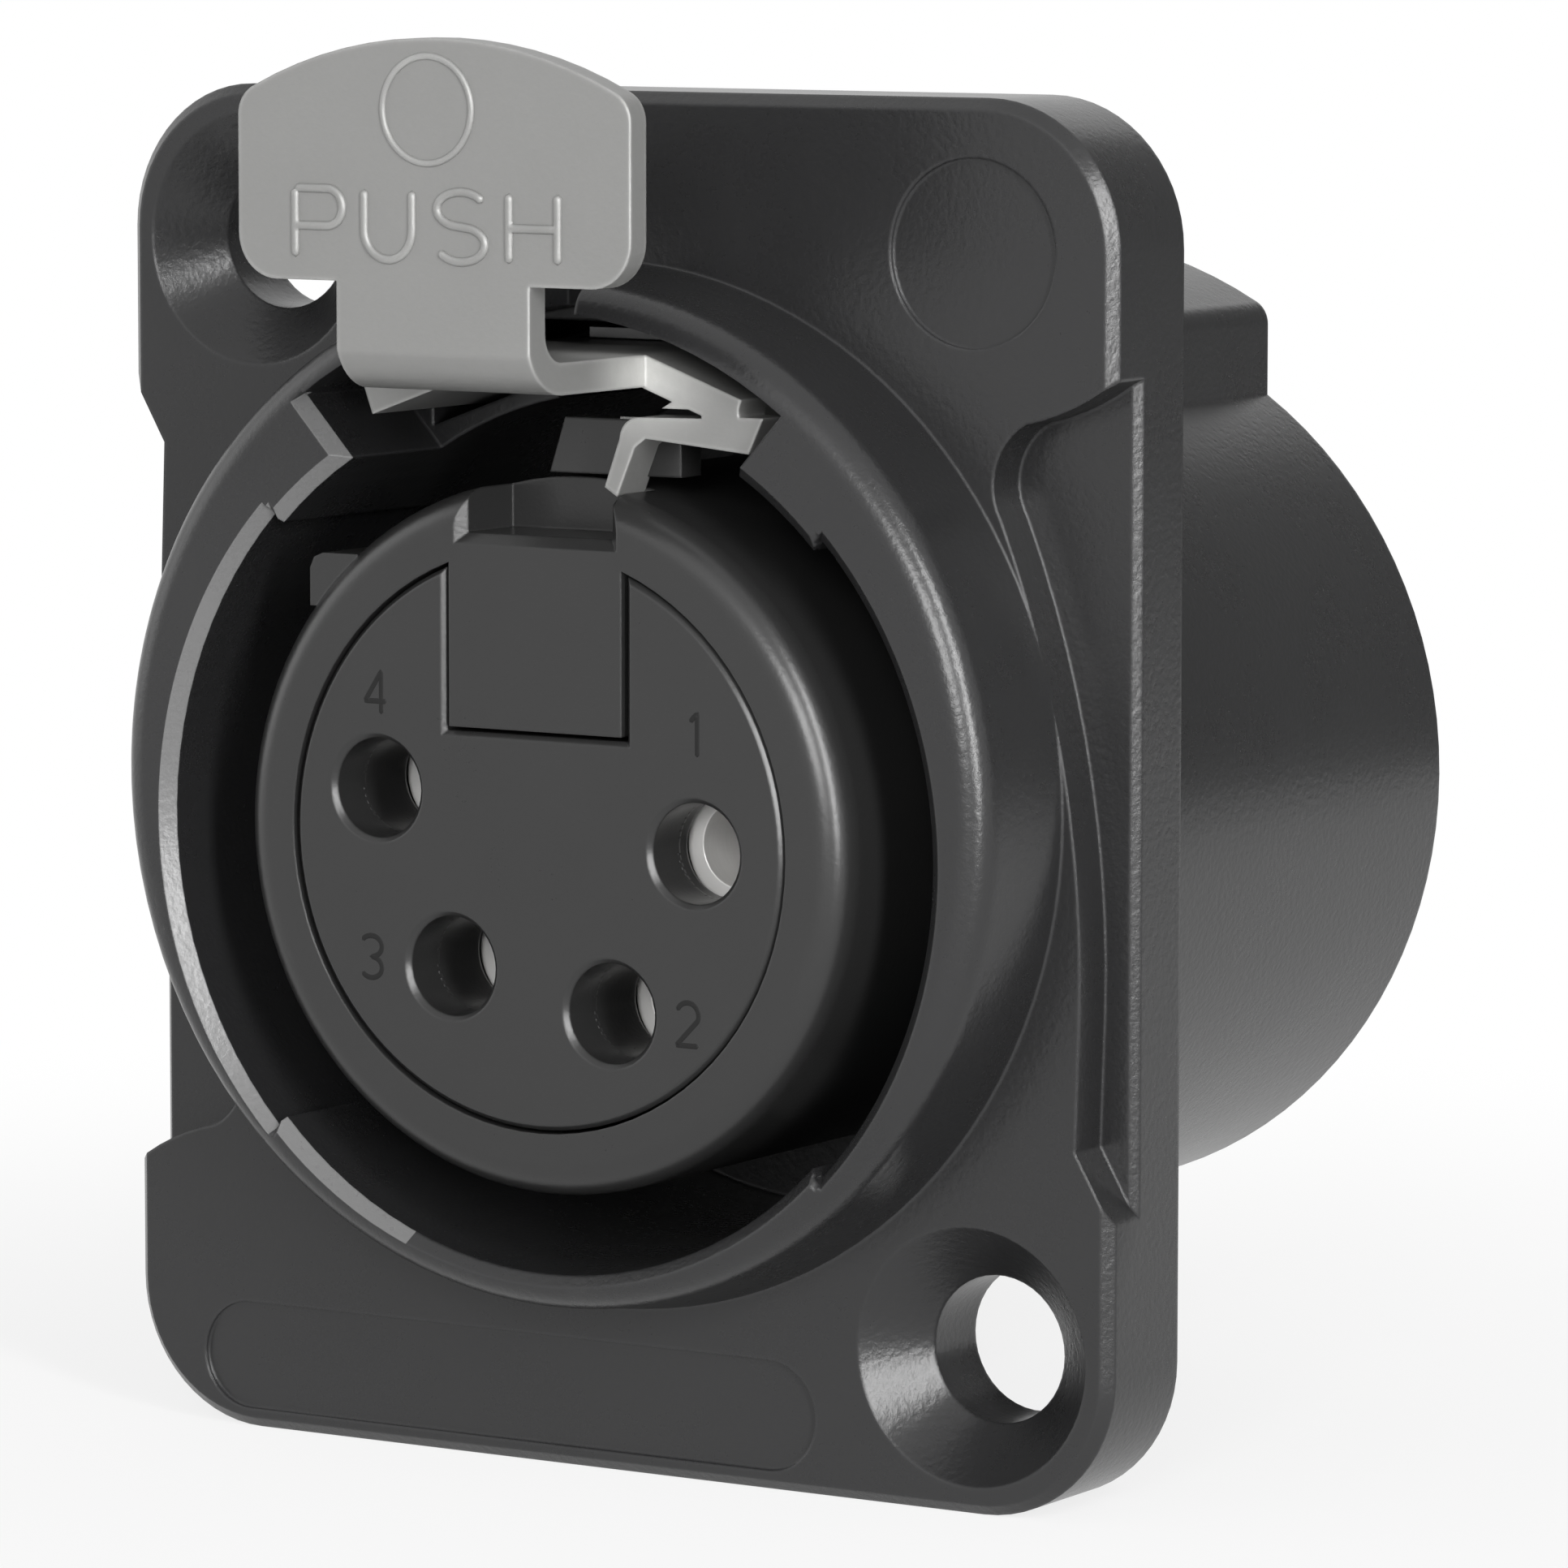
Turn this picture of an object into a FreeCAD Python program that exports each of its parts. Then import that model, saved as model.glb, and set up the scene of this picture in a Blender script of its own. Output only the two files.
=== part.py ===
import FreeCAD, Part
import math
import os
import re

import Sketcher

# Panel socket with four contacts and a push latch, in millimetres.
# X runs across the flange, Z up it, and Y from the front of the socket to its rear.
# The origin is on the flange's centre axis, in the face that seats on the panel.

Vector = FreeCAD.Vector
document = FreeCAD.newDocument("xlr_panel_socket")
sheet = document.addObject("Spreadsheet::Sheet", "sizes")

# Driving dimensions: name, value, what it is
SIZES = [
    ("flange_width", 26, "standard flange, across"),
    ("flange_height", 31, "standard flange, up"),
    ("flange_thickness", 3, "flange, front face to panel face"),
    ("flange_corner", 3.3, "radius of the flange's corners"),
    ("flange_bevel", 0.25, "bevel on the flange's front edge"),
    ("ring_radius", 11.45, "front ring, outside at its front"),
    ("ring_base", 11.75, "front ring, outside at the flange"),
    ("ring_height", 2.8, "how far the ring stands out"),
    ("ring_round", 0.8, "round on the ring's outer front edge"),
    ("axis_drop", 0.94, "socket axis below the flange's centre"),
    ("barrel_radius", 10.62, "barrel behind the panel"),
    ("barrel_length", 16.8, "barrel, panel face to rear end"),
    ("ridge_radius", 11.54, "top of the latch ridge, from the flange's centre"),
    ("ridge_half", 5.92, "half width of the latch ridge"),
    ("ridge_round", 0.6, "round on the ridge's upper edges"),
    ("bore_radius", 9.7, "plug cavity at top and bottom"),
    ("side_relief", 0.3, "how much wider the cavity is at its sides"),
    ("side_angle", 88, "angle of each wider side"),
    ("mouth_bevel", 0.18, "bevel on the cavity's mouth"),
    ("cavity_depth", 12, "plug cavity, ring front to floor"),
    ("web_thickness", 1.5, "floor of the cavity"),
    ("rear_bore", 9.5, "bore behind the cavity's floor"),
    ("screw_spacing_x", 19, "screw holes, across"),
    ("screw_spacing_z", 24, "screw holes, up"),
    ("screw_hole", 3.3, "screw hole, diameter"),
    ("countersink", 5.8, "countersink, diameter"),
    ("countersink_angle", 90, "countersink, full angle"),
    ("recess_depth", 1.1, "side recesses in the flange's face"),
    ("recess_bevel", 0.18, "bevel on the recess floor's outer edge"),
    ("recess_top", 9.5, "upper end of the recess at the flange's side"),
    ("recess_toe", 8.8, "lower end of the recess, below the centre"),
    ("shoulder_in", 2.2, "recess shoulder, in from the side"),
    ("shoulder_height", 8.5, "recess shoulder, above the centre"),
    ("shoulder_round", 1.5, "round of the recess shoulder"),
    ("lead_round", 5.6, "hollow run from the side to the shoulder"),
    ("heel_in", 2.8, "recess heel, in from the side"),
    ("heel_height", 6.4, "recess heel, above the centre"),
    ("flank_round", 25.6, "long curve of the recess beside the ring"),
    ("foot_in", 0.8, "lower end of the long curve, in from the side"),
    ("foot_drop", 4.3, "lower end of the long curve, below the centre"),
    ("ankle_in", 0.9, "end of the straight run, in from the side"),
    ("ankle_drop", 7.25, "end of the straight run, below the centre"),
    ("mark_depth", 0.12, "bare shallow fields on the flange"),
    ("mark_radius", 2.07, "round field, radius"),
    ("mark_in", 3.55, "round field, in from the side"),
    ("mark_down", 3.35, "round field, down from the top"),
    ("plate_half", 1.25, "long field, half height"),
    ("plate_up", 1.7, "long field, centre line above the lower edge"),
    ("plate_start", 3.15, "long field's left centre, in from the side"),
    ("plate_run", 14.1, "long field, centre to centre"),
    ("pocket_ceiling", 10.75, "latch pocket's ceiling, from the flange's centre"),
    ("pocket_half", 6.33, "latch pocket, half width at its ceiling"),
    ("pocket_foot", 5.25, "latch pocket, half width where it meets the bore"),
    ("pocket_foot_height", 7.5, "where the pocket's slanted ends meet the bore"),
    ("pocket_depth", 3.8, "latch pocket, from the ring's front"),
    ("lip_slot_half", 1.0, "slot in the ring over the lever, half width"),
    ("lip_slot_floor", 10.3, "slot in the ring, height of its floor"),
    ("boss_radius", 7.95, "middle boss of the insert"),
    ("boss_rise", 0.08, "boss stands before the ring"),
    ("boss_round", 0.8, "round on the boss's front edge"),
    ("boss_bore", 6.5, "bore of the boss"),
    ("boss_clearance", 0.1, "boss to the hole in the cavity's floor"),
    ("sleeve_flange", 1.5, "rear flange of the boss"),
    ("rear_clearance", 0.08, "stacked pieces to the rear bore"),
    ("tongue_half", 2.27, "tongue, half width"),
    ("tongue_foot", 2.44, "tongue's lower face, above the socket axis"),
    ("tongue_depth", 6, "tongue, front to back"),
    ("boss_slot_half", 1.9, "latch slot in the boss, half width"),
    ("boss_slot_floor", 6.87, "latch slot's floor, above the socket axis"),
    ("boss_slot_depth", 2.0, "latch slot, front to back"),
    ("nub_angle", 136, "polarising nub's place round the boss"),
    ("nub_reach", 8.3, "polarising nub's outer radius"),
    ("nub_width", 0.9, "polarising nub, width"),
    ("nub_inset", 0.4, "polarising nub, behind the boss's front"),
    ("disc_clearance", 0.07, "carrier's disc to the boss's bore"),
    ("tongue_clearance", 0.04, "tongue to its keyway"),
    ("carrier_flange", 1.7, "rear flange of the carrier"),
    ("carrier_boss", 6.3, "rear boss of the carrier, radius"),
    ("carrier_boss_length", 3.1, "rear boss of the carrier, behind its flange"),
    ("contact_one_x", 4.15, "contact 1, across"),
    ("contact_one_z", -0.01, "contact 1, above the socket axis"),
    ("contact_two_x", 1.95, "contact 2, across"),
    ("contact_two_z", -3.69, "contact 2, above the socket axis"),
    ("contact_three_x", -2.25, "contact 3, across"),
    ("contact_three_z", -2.93, "contact 3, above the socket axis"),
    ("contact_four_x", -4.23, "contact 4, across"),
    ("contact_four_z", 0.94, "contact 4, above the socket axis"),
    ("lip_radius", 1.12, "pin entry in the disc"),
    ("lip_chamfer", 0.12, "chamfer round each pin entry"),
    ("lip_depth", 1.2, "how deep the pin entry keeps its lip"),
    ("first_set_back", 0.1, "contact 1 behind the lip, so that it mates first"),
    ("other_set_back", 1.2, "the other contacts behind the lip"),
    ("contact_radius", 1.35, "contact, outside"),
    ("contact_bore", 0.95, "contact, bore for the pin"),
    ("contact_bore_depth", 8, "contact, depth of the bore"),
    ("contact_clearance", 0.05, "contact to its hole"),
    ("contact_mouth", 0.15, "lead-in at the contact's mouth"),
    ("slit_width", 0.4, "slit in each contact"),
    ("slit_length", 6, "slit in each contact, length"),
    ("slit_angle", -52, "where contact 1's slit is"),
    ("collar_radius", 1.6, "contact collar"),
    ("collar_thickness", 0.8, "contact collar"),
    ("collar_seat", 2.0, "collar's seat, in from the carrier's rear"),
    ("cup_length", 4.4, "solder cup behind the carrier"),
    ("cup_bore", 0.95, "solder cup, bore"),
    ("cup_depth", 3.4, "solder cup, depth of the bore"),
    ("lug_thickness", 0.4, "ground lug, sheet"),
    ("lug_clearance", 0.15, "ground lug to the carrier's boss"),
    ("tag_half", 1.2, "solder tag, half width"),
    ("tag_length", 6.6, "solder tag, behind the washer"),
    ("tag_eye", 0.6, "eye of the solder tag, radius"),
    ("lock_ring_inner", 7.4, "retaining ring, inside"),
    ("lock_ring_thickness", 1.8, "retaining ring"),
    ("lock_notch", 1.6, "spanner notch, width"),
    ("lock_notch_depth", 0.8, "spanner notch, depth"),
    ("strip_sheet", 0.3, "ground spring, sheet"),
    ("strip_wall_gap", 0.1, "ground spring to the cavity's wall"),
    ("strip_angle", -51, "ground spring's place round the cavity"),
    ("strip_span", 15, "ground spring, angle across"),
    ("strip_length", 7.4, "ground spring, from the cavity's floor"),
    ("strip_kick", 0.25, "how far the spring's front end kicks inwards"),
    ("lever_sheet", 0.7, "latch lever, sheet"),
    ("lever_headroom", 0.9, "latch arm below the pocket's ceiling"),
    ("arm_half", 2.5, "latch arm and neck, half width"),
    ("bend_inside", 0.65, "bend between arm and neck, inside radius"),
    ("tab_stand", 4.1, "tab's front, before the ring"),
    ("tab_half", 5.08, "tab, half width"),
    ("tab_foot", 11.53, "tab's lower edge"),
    ("tab_foot_round", 1.0, "tab's lower corners"),
    ("tab_top", 16.8, "tab's highest point"),
    ("tab_top_round", 10.57, "arch of the tab's top"),
    ("tab_shoulder_round", 0.7, "tab's upper corners"),
    ("wing_half", 4.97, "arched plate, half width"),
    ("wing_slope", 20, "slope of the plate's wings"),
    ("wing_inset", 0.55, "plate's front edge behind the ring's front"),
    ("hook_depth", 1.1, "hook, front to back"),
    ("hook_round", 0.5, "hook's bend"),
    ("hook_shelf", 1.34, "hook's shelf below the arm's top"),
    ("hook_drop", 3.1, "hook's tip below the arm's top"),
    ("tooth_thickness", 0.7, "latch tooth, front to back"),
    ("tooth_left", 0.6, "latch tooth, left of the centre"),
    ("tooth_right", 1.95, "latch tooth, right of the centre"),
    ("tooth_height", 1.25, "latch tooth"),
    ("tooth_gap", 0.14, "latch tooth above the boss"),
    ("pin_radius", 0.35, "lever's pins"),
    ("pin_back", 1.0, "pin's axis behind the panel face"),
    ("pin_below", 0.45, "pin's axis below the arm's lower face"),
    ("pin_inner", 4.3, "inner end of each pin"),
    ("pin_fit", 0.01, "pin in the ridge's wall"),
    ("pin_running", 0.03, "pin in the lever's ear"),
    ("ear_inner", 4.45, "inner face of the lever's ears"),
    ("ear_radius", 0.7, "lever's ears"),
    ("tail_length", 0.9, "lever behind its pin"),
    ("lever_side_gap", 0.33, "lever to the sides of its tunnel"),
    ("lever_gap_under", 0.3, "lever to the floor of its tunnel"),
    ("lever_gap_over", 0.48, "lever to the roof of its tunnel"),
    ("ear_gap", 0.15, "lever's ears to their pockets"),
    ("relief_half", 1.9, "where the tunnel is open to the bore, half width"),
    ("leaf_half", 1.8, "latch spring, half width"),
    ("leaf_sheet", 0.25, "latch spring, sheet"),
    ("leaf_touch", 0.03, "latch spring above the lever"),
    ("leaf_reach", 0.9, "latch spring's front end before the panel face"),
    ("leaf_crest", 2.6, "latch spring's crest behind the panel face"),
    ("leaf_crest_rise", 0.3, "crest above the lever's arm"),
    ("leaf_seat", 6.5, "front of the spring's seat behind the panel face"),
    ("leaf_end", 13.2, "rear end of the spring behind the panel face"),
    ("leaf_drop", 0.4, "seat below the top of the lever's arm"),
    ("core_gap", 0.3, "room round the latch spring"),
    ("core_roof", 10.75, "roof of the spring's hollow"),
]

ALIASES = set()
for row, (alias, size, meaning) in enumerate(SIZES, start=1):
    sheet.set(f"A{row}", meaning)
    sheet.set(f"B{row}", str(size))
    sheet.setAlias(f"B{row}", alias)
    ALIASES.add(alias)
document.recompute()

# Places along Y that several pieces share
RING_FRONT = "(-flange_thickness - ring_height)"
BOSS_FRONT = f"({RING_FRONT} - boss_rise)"
CAVITY_FLOOR = f"({RING_FRONT} + cavity_depth)"
WEB_REAR = f"({CAVITY_FLOOR} + web_thickness)"
SLEEVE_REAR = f"({WEB_REAR} + sleeve_flange)"
CARRIER_REAR = f"({SLEEVE_REAR} + carrier_flange)"
CARRIER_END = f"({CARRIER_REAR} + carrier_boss_length)"
LUG_REAR = f"({CARRIER_REAR} + lug_thickness)"
STACK_RADIUS = "(rear_bore - rear_clearance)"
COLLAR_FRONT = f"({CARRIER_END} - collar_seat)"
TAB_FRONT = f"({RING_FRONT} - tab_stand)"
WING_FRONT = f"({RING_FRONT} + wing_inset)"
POCKET_BACK = f"({RING_FRONT} + pocket_depth)"
LEVER_TAIL = "(pin_back + tail_length)"

# Heights that the latch's pieces share
ARM_TOP = "(pocket_ceiling - lever_headroom)"
ARM_UNDER = f"({ARM_TOP} - lever_sheet)"
PIN_HEIGHT = f"({ARM_UNDER} - pin_below)"
LEAF_SEAT = f"({ARM_TOP} - leaf_drop)"

# A cut runs this far past the face that it opens
PAST = 1.0


def formula(words):
    """Return the formula with each size's name pointing into the sheet."""
    return re.sub(r"[a-z_]+", lambda m: f"sizes.{m[0]}" if m[0] in ALIASES else m[0], str(words))


def number(words):
    """Return what a formula over the sizes comes to."""
    result = sheet.evalExpression(formula(words))
    return float(getattr(result, "Value", result))


def bind(thing, target, words):
    """Bind one property of an object to a formula over the sizes."""
    thing.setExpression(target, formula(words))


def new_body(label, on_socket_axis=False):
    """Start a piece; one on the socket axis is drawn about its own Y axis and lowered to it."""
    body = document.addObject("PartDesign::Body", label)
    body.Label = label
    if on_socket_axis:
        bind(body, "Placement.Base.z", "-axis_drop")
    return body


def origin_part(body, role):
    """Find one plane or axis of a body's origin."""
    return next(part for part in body.Origin.OriginFeatures if part.Role == role)


def new_sketch(body, name, role, offset="0"):
    """Attach a sketch to one of the body's planes, moved along that plane's normal."""
    sketch = body.newObject("Sketcher::SketchObject", name)
    sketch.AttachmentSupport = [(origin_part(body, role), "")]
    sketch.MapMode = "FlatFace"
    bind(sketch, "AttachmentOffset.Base.z", offset)
    return sketch


def front_sketch(body, name, along):
    """Sketch seen from the front, at the given place along Y. Its pads grow rearward when reversed."""
    return new_sketch(body, name, "XZ_Plane", f"-({along})")


def fix_value(sketch, constraint, words):
    """Add a sized constraint and bind it."""
    index = sketch.addConstraint(constraint)
    bind(sketch, f"Constraints[{index}]", words)


def draw(sketch, corners):
    """Draw a closed outline. A corner is (x, y), or (x, y, radius, turn) where the edge that starts
    there is an arc, turning left with turn 1 and right with turn -1."""
    points = [Vector(number(corner[0]), number(corner[1]), 0) for corner in corners]
    first = sketch.GeometryCount
    ends = []
    for index, corner in enumerate(corners):
        start = points[index]
        end = points[(index + 1) % len(corners)]
        if len(corner) == 2:
            sketch.addGeometry(Part.LineSegment(start, end), False)
            ends.append((1, 2))
            continue
        radius = number(corner[2])
        turn = corner[3]
        half = (end - start) * 0.5
        reach = math.sqrt(max(radius ** 2 - half.Length ** 2, 0))
        side = Vector(-half.y, half.x, 0).normalize()
        centre = start + half + side * (turn * reach)
        angles = [math.atan2(p.y - centre.y, p.x - centre.x) for p in (start, end)]
        circle = Part.Circle(centre, Vector(0, 0, 1), radius)
        if turn < 0:
            angles.reverse()
        sketch.addGeometry(Part.ArcOfCircle(circle, *angles), False)
        ends.append((1, 2) if turn > 0 else (2, 1))
        fix_value(sketch, Sketcher.Constraint("Radius", first + index, radius), corner[2])
    for index, corner in enumerate(corners):
        following = (index + 1) % len(corners)
        sketch.addConstraint(Sketcher.Constraint(
            "Coincident", first + index, ends[index][1], first + following, ends[following][0]))
        place = (first + index, ends[index][0])
        fix_value(sketch, Sketcher.Constraint("DistanceX", *place, points[index].x), corner[0])
        fix_value(sketch, Sketcher.Constraint("DistanceY", *place, points[index].y), corner[1])


def draw_circle(sketch, across, up, radius):
    """Draw a circle round the given centre."""
    centre = Vector(number(across), number(up), 0)
    index = sketch.addGeometry(Part.Circle(centre, Vector(0, 0, 1), number(radius)), False)
    fix_value(sketch, Sketcher.Constraint("DistanceX", index, 3, centre.x), across)
    fix_value(sketch, Sketcher.Constraint("DistanceY", index, 3, centre.y), up)
    fix_value(sketch, Sketcher.Constraint("Radius", index, number(radius)), radius)


def prism(body, kind, name, sketch, length, reverse=False, both_ways=False):
    """Pad or pocket a sketch."""
    feature = body.newObject(f"PartDesign::{kind}", name)
    feature.Profile = sketch
    feature.Reversed = reverse
    if both_ways:
        feature.SideType = "Symmetric"
    bind(feature, "Length", length)
    return feature


def pad_rearward(body, name, sketch, length):
    """Add material from a front sketch towards the rear."""
    return prism(body, "Pad", name, sketch, length, reverse=True)


def cut_rearward(body, name, sketch, length):
    """Cut from a front sketch towards the rear."""
    return prism(body, "Pocket", name, sketch, length)


def turned(body, kind, name, sketch, angle=360, centred=False, axis="V_Axis"):
    """Revolve or groove a sketch about one of its own axes."""
    feature = body.newObject(f"PartDesign::{kind}", name)
    feature.Profile = sketch
    feature.ReferenceAxis = (sketch, [axis])
    feature.Midplane = centred
    bind(feature, "Angle", angle)
    return feature


def half_turn(body, name, feature, sketch):
    """Repeat a feature on the other side of the sketch's vertical axis."""
    pattern = body.newObject("PartDesign::PolarPattern", name)
    pattern.Originals = [feature]
    pattern.Axis = (sketch, ["V_Axis"])
    pattern.Angle = 360
    pattern.Occurrences = 2
    body.Tip = pattern
    return pattern


def edges_of(feature, wanted):
    """Name the edges of a feature that pass a test."""
    document.recompute()
    edges = feature.Shape.Edges
    return [f"Edge{index}" for index, edge in enumerate(edges, start=1) if wanted(edge)]


def ease(body, kind, name, feature, wanted, size):
    """Fillet or chamfer the edges of a feature that pass a test."""
    eased = body.newObject(f"PartDesign::{kind}", name)
    eased.Base = (feature, edges_of(feature, wanted))
    bind(eased, "Radius" if kind == "Fillet" else "Size", size)
    return eased


def rounded_rectangle(half_width, half_height, radius):
    """Corners of a rectangle with rounded corners, counterclockwise."""
    across, up = f"({half_width})", f"({half_height})"
    return [
        (f"-{across} + {radius}", f"-{up}"),
        (f"{across} - {radius}", f"-{up}", radius, 1),
        (across, f"-{up} + {radius}"),
        (across, f"{up} - {radius}", radius, 1),
        (f"{across} - {radius}", up),
        (f"-{across} + {radius}", up, radius, 1),
        (f"-{across}", f"{up} - {radius}"),
        (f"-{across}", f"-{up} + {radius}", radius, 1),
    ]


def lies_at(edge, place, tolerance=0.01):
    """Tell whether a whole edge lies at one place along Y."""
    box = edge.BoundBox
    return abs(box.YMin - place) < tolerance and abs(box.YMax - place) < tolerance


def flange_and_ring(body):
    """Flange with its bevelled front edge, and the ring that stands out of it."""
    outline = front_sketch(body, "flange_outline", "-flange_thickness")
    draw(outline, rounded_rectangle("flange_width / 2", "flange_height / 2", "flange_corner"))
    flange = pad_rearward(body, "flange", outline, "flange_thickness")
    front = number("-flange_thickness")
    ease(body, "Chamfer", "flange_front_edge", flange, lambda edge: lies_at(edge, front), "flange_bevel")
    profile = new_sketch(body, "ring_profile", "XY_Plane")
    draw(profile, [
        ("0", "-flange_thickness / 2"),
        ("ring_base", "-flange_thickness / 2"),
        ("ring_base", "-flange_thickness"),
        ("ring_radius", f"{RING_FRONT} + ring_round", "ring_round", -1),
        ("ring_radius - ring_round", RING_FRONT),
        ("0", RING_FRONT),
    ])
    turned(body, "Revolution", "front_ring", profile)


def barrel_and_ridge(body):
    """Barrel on the socket axis, with the ridge over the latch."""
    outline = front_sketch(body, "barrel_outline", "0")
    draw_circle(outline, "0", "-axis_drop", "barrel_radius")
    pad_rearward(body, "barrel", outline, "barrel_length")
    ridge_outline = front_sketch(body, "ridge_outline", "0")
    side = "sqrt(ridge_radius ^ 2 - ridge_half ^ 2)"
    draw(ridge_outline, [
        ("-ridge_half", "ridge_half"),
        ("ridge_half", "ridge_half"),
        ("ridge_half", side, "ridge_radius", 1),
        ("-ridge_half", side),
    ])
    ridge = pad_rearward(body, "latch_ridge", ridge_outline, "barrel_length")
    half, height, length = number("ridge_half"), number(side), number("barrel_length")

    def upper_edge(edge):
        middle = edge.CenterOfMass
        on_side = abs(abs(middle.x) - half) < 0.01 and abs(middle.z - height) < 0.01
        return on_side and edge.Length > 0.9 * length

    ease(body, "Fillet", "ridge_edges", ridge, upper_edge, "ridge_round")


def ring_outline():
    """Section of the cavity: narrower above and below, wider at both sides, stepped between."""
    narrow, wide = "bore_radius", "(bore_radius + side_relief)"
    across, up = "cos(side_angle / 2)", "sin(side_angle / 2)"
    corners = []
    for turn, (first, second) in enumerate(((wide, narrow), (narrow, wide)) * 2):
        east = 1 if turn in (0, 3) else -1
        north = 1 if turn in (0, 1) else -1
        corners.append((f"{east} * {first} * {across}", f"{north} * {first} * {up} - axis_drop"))
        corners.append((f"{east} * {second} * {across}", f"{north} * {second} * {up} - axis_drop", second, 1))
    return corners


def plug_cavity(body):
    """Cavity for the plug's shell, the hole in its floor and the bore behind it."""
    outline = front_sketch(body, "cavity_outline", f"{RING_FRONT} - {PAST}")
    draw(outline, ring_outline())
    cavity = cut_rearward(body, "plug_cavity", outline, f"cavity_depth + {PAST}")
    front, widest = number(RING_FRONT), number("bore_radius + side_relief + 0.01")

    def mouth(edge):
        middle = edge.valueAt((edge.FirstParameter + edge.LastParameter) / 2)
        return lies_at(edge, front) and math.hypot(middle.x, middle.z + number("axis_drop")) < widest

    ease(body, "Chamfer", "mouth_edge", cavity, mouth, "mouth_bevel")
    hole = front_sketch(body, "floor_hole_outline", f"{CAVITY_FLOOR} - {PAST}")
    draw_circle(hole, "0", "-axis_drop", "boss_radius + boss_clearance")
    cut_rearward(body, "floor_hole", hole, f"web_thickness + 2 * {PAST}")
    rear = front_sketch(body, "rear_bore_outline", WEB_REAR)
    draw_circle(rear, "0", "-axis_drop", "rear_bore")
    cut_rearward(body, "rear_bore", rear, f"barrel_length - {WEB_REAR} + {PAST}")


def wing_line(across, height):
    """Height of the arched plate's face at a place beyond the arm's edge."""
    return f"({height}) - (({across}) - arm_half) * tan(wing_slope)"


def latch_room(body):
    """Pocket in the ring, tunnel behind it, pockets for the lever's ears and the spring's hollow."""
    pocket = front_sketch(body, "pocket_outline", f"{RING_FRONT} - {PAST}")
    reach = "sqrt(pocket_ceiling ^ 2 - pocket_half ^ 2)"
    lean = f"(pocket_half - pocket_foot) / ({reach} - pocket_foot_height)"
    low_x = f"(pocket_foot - {PAST} * {lean})"
    low_z = f"(pocket_foot_height - {PAST})"
    draw(pocket, [
        (f"-{low_x}", low_z),
        (low_x, low_z),
        ("pocket_half", reach, "pocket_ceiling", 1),
        ("-pocket_half", reach),
    ])
    cut_rearward(body, "latch_pocket", pocket, f"{PAST} + pocket_depth")

    slot = front_sketch(body, "lip_slot_outline", f"{RING_FRONT} - {PAST}")
    slot_top = f"ring_base + {PAST}"
    draw(slot, [
        ("-lip_slot_half", "lip_slot_floor"),
        ("lip_slot_half", "lip_slot_floor"),
        ("lip_slot_half", slot_top),
        ("-lip_slot_half", slot_top),
    ])
    cut_rearward(body, "lip_slot", slot, f"{PAST} + ring_height")

    tunnel = front_sketch(body, "tunnel_outline", f"{POCKET_BACK} - {PAST}")
    side = "(wing_half + lever_side_gap)"
    roof, floor = f"({ARM_TOP} + lever_gap_over)", f"({ARM_UNDER} - lever_gap_under)"
    draw(tunnel, [
        (f"-{side}", wing_line(side, floor)),
        ("-arm_half", floor),
        ("arm_half", floor),
        (side, wing_line(side, floor)),
        (side, wing_line(side, roof)),
        ("arm_half", roof),
        ("-arm_half", roof),
        (f"-{side}", wing_line(side, roof)),
    ])
    cut_rearward(body, "lever_tunnel", tunnel, f"{LEVER_TAIL} + lever_side_gap - {POCKET_BACK} + {PAST}")

    relief = front_sketch(body, "tunnel_relief_outline", f"{POCKET_BACK} - {PAST}")
    draw(relief, [
        ("-relief_half", "bore_radius - axis_drop - 1"),
        ("relief_half", "bore_radius - axis_drop - 1"),
        ("relief_half", f"{floor} + lever_sheet / 2"),
        ("-relief_half", f"{floor} + lever_sheet / 2"),
    ])
    cut_rearward(body, "tunnel_relief", relief, f"{LEVER_TAIL} + lever_side_gap - {POCKET_BACK} + {PAST}")

    hollow = front_sketch(body, "spring_hollow_outline", "-leaf_reach - core_gap")
    draw(hollow, [
        ("-leaf_half - core_gap", LEAF_SEAT),
        ("leaf_half + core_gap", LEAF_SEAT),
        ("leaf_half + core_gap", "core_roof"),
        ("-leaf_half - core_gap", "core_roof"),
    ])
    cut_rearward(body, "spring_hollow", hollow, "leaf_reach + leaf_end + 2 * core_gap")

    for side_name, sign in (("left", -1), ("right", 1)):
        ear = front_sketch(body, f"ear_pocket_outline_{side_name}", "pin_back - ear_radius - ear_gap")
        inner, outer = f"{sign} * (ear_inner - ear_gap)", f"{sign} * {side}"
        foot, head = f"{PIN_HEIGHT} - ear_radius - ear_gap", f"{PIN_HEIGHT} + ear_radius + ear_gap"
        corners = [(inner, foot), (outer, foot), (outer, head), (inner, head)]
        draw(ear, corners if sign > 0 else corners[::-1])
        cut_rearward(body, f"ear_pocket_{side_name}", ear, "2 * (ear_radius + ear_gap)")
        hole = new_sketch(body, f"pin_hole_outline_{side_name}", "YZ_Plane", f"{sign} * (ridge_half + {PAST})")
        draw_circle(hole, "pin_back", PIN_HEIGHT, "pin_radius + pin_fit")
        prism(body, "Pocket", f"pin_hole_{side_name}", hole, f"ridge_half + {PAST} - wing_half",
              reverse=sign < 0)


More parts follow.
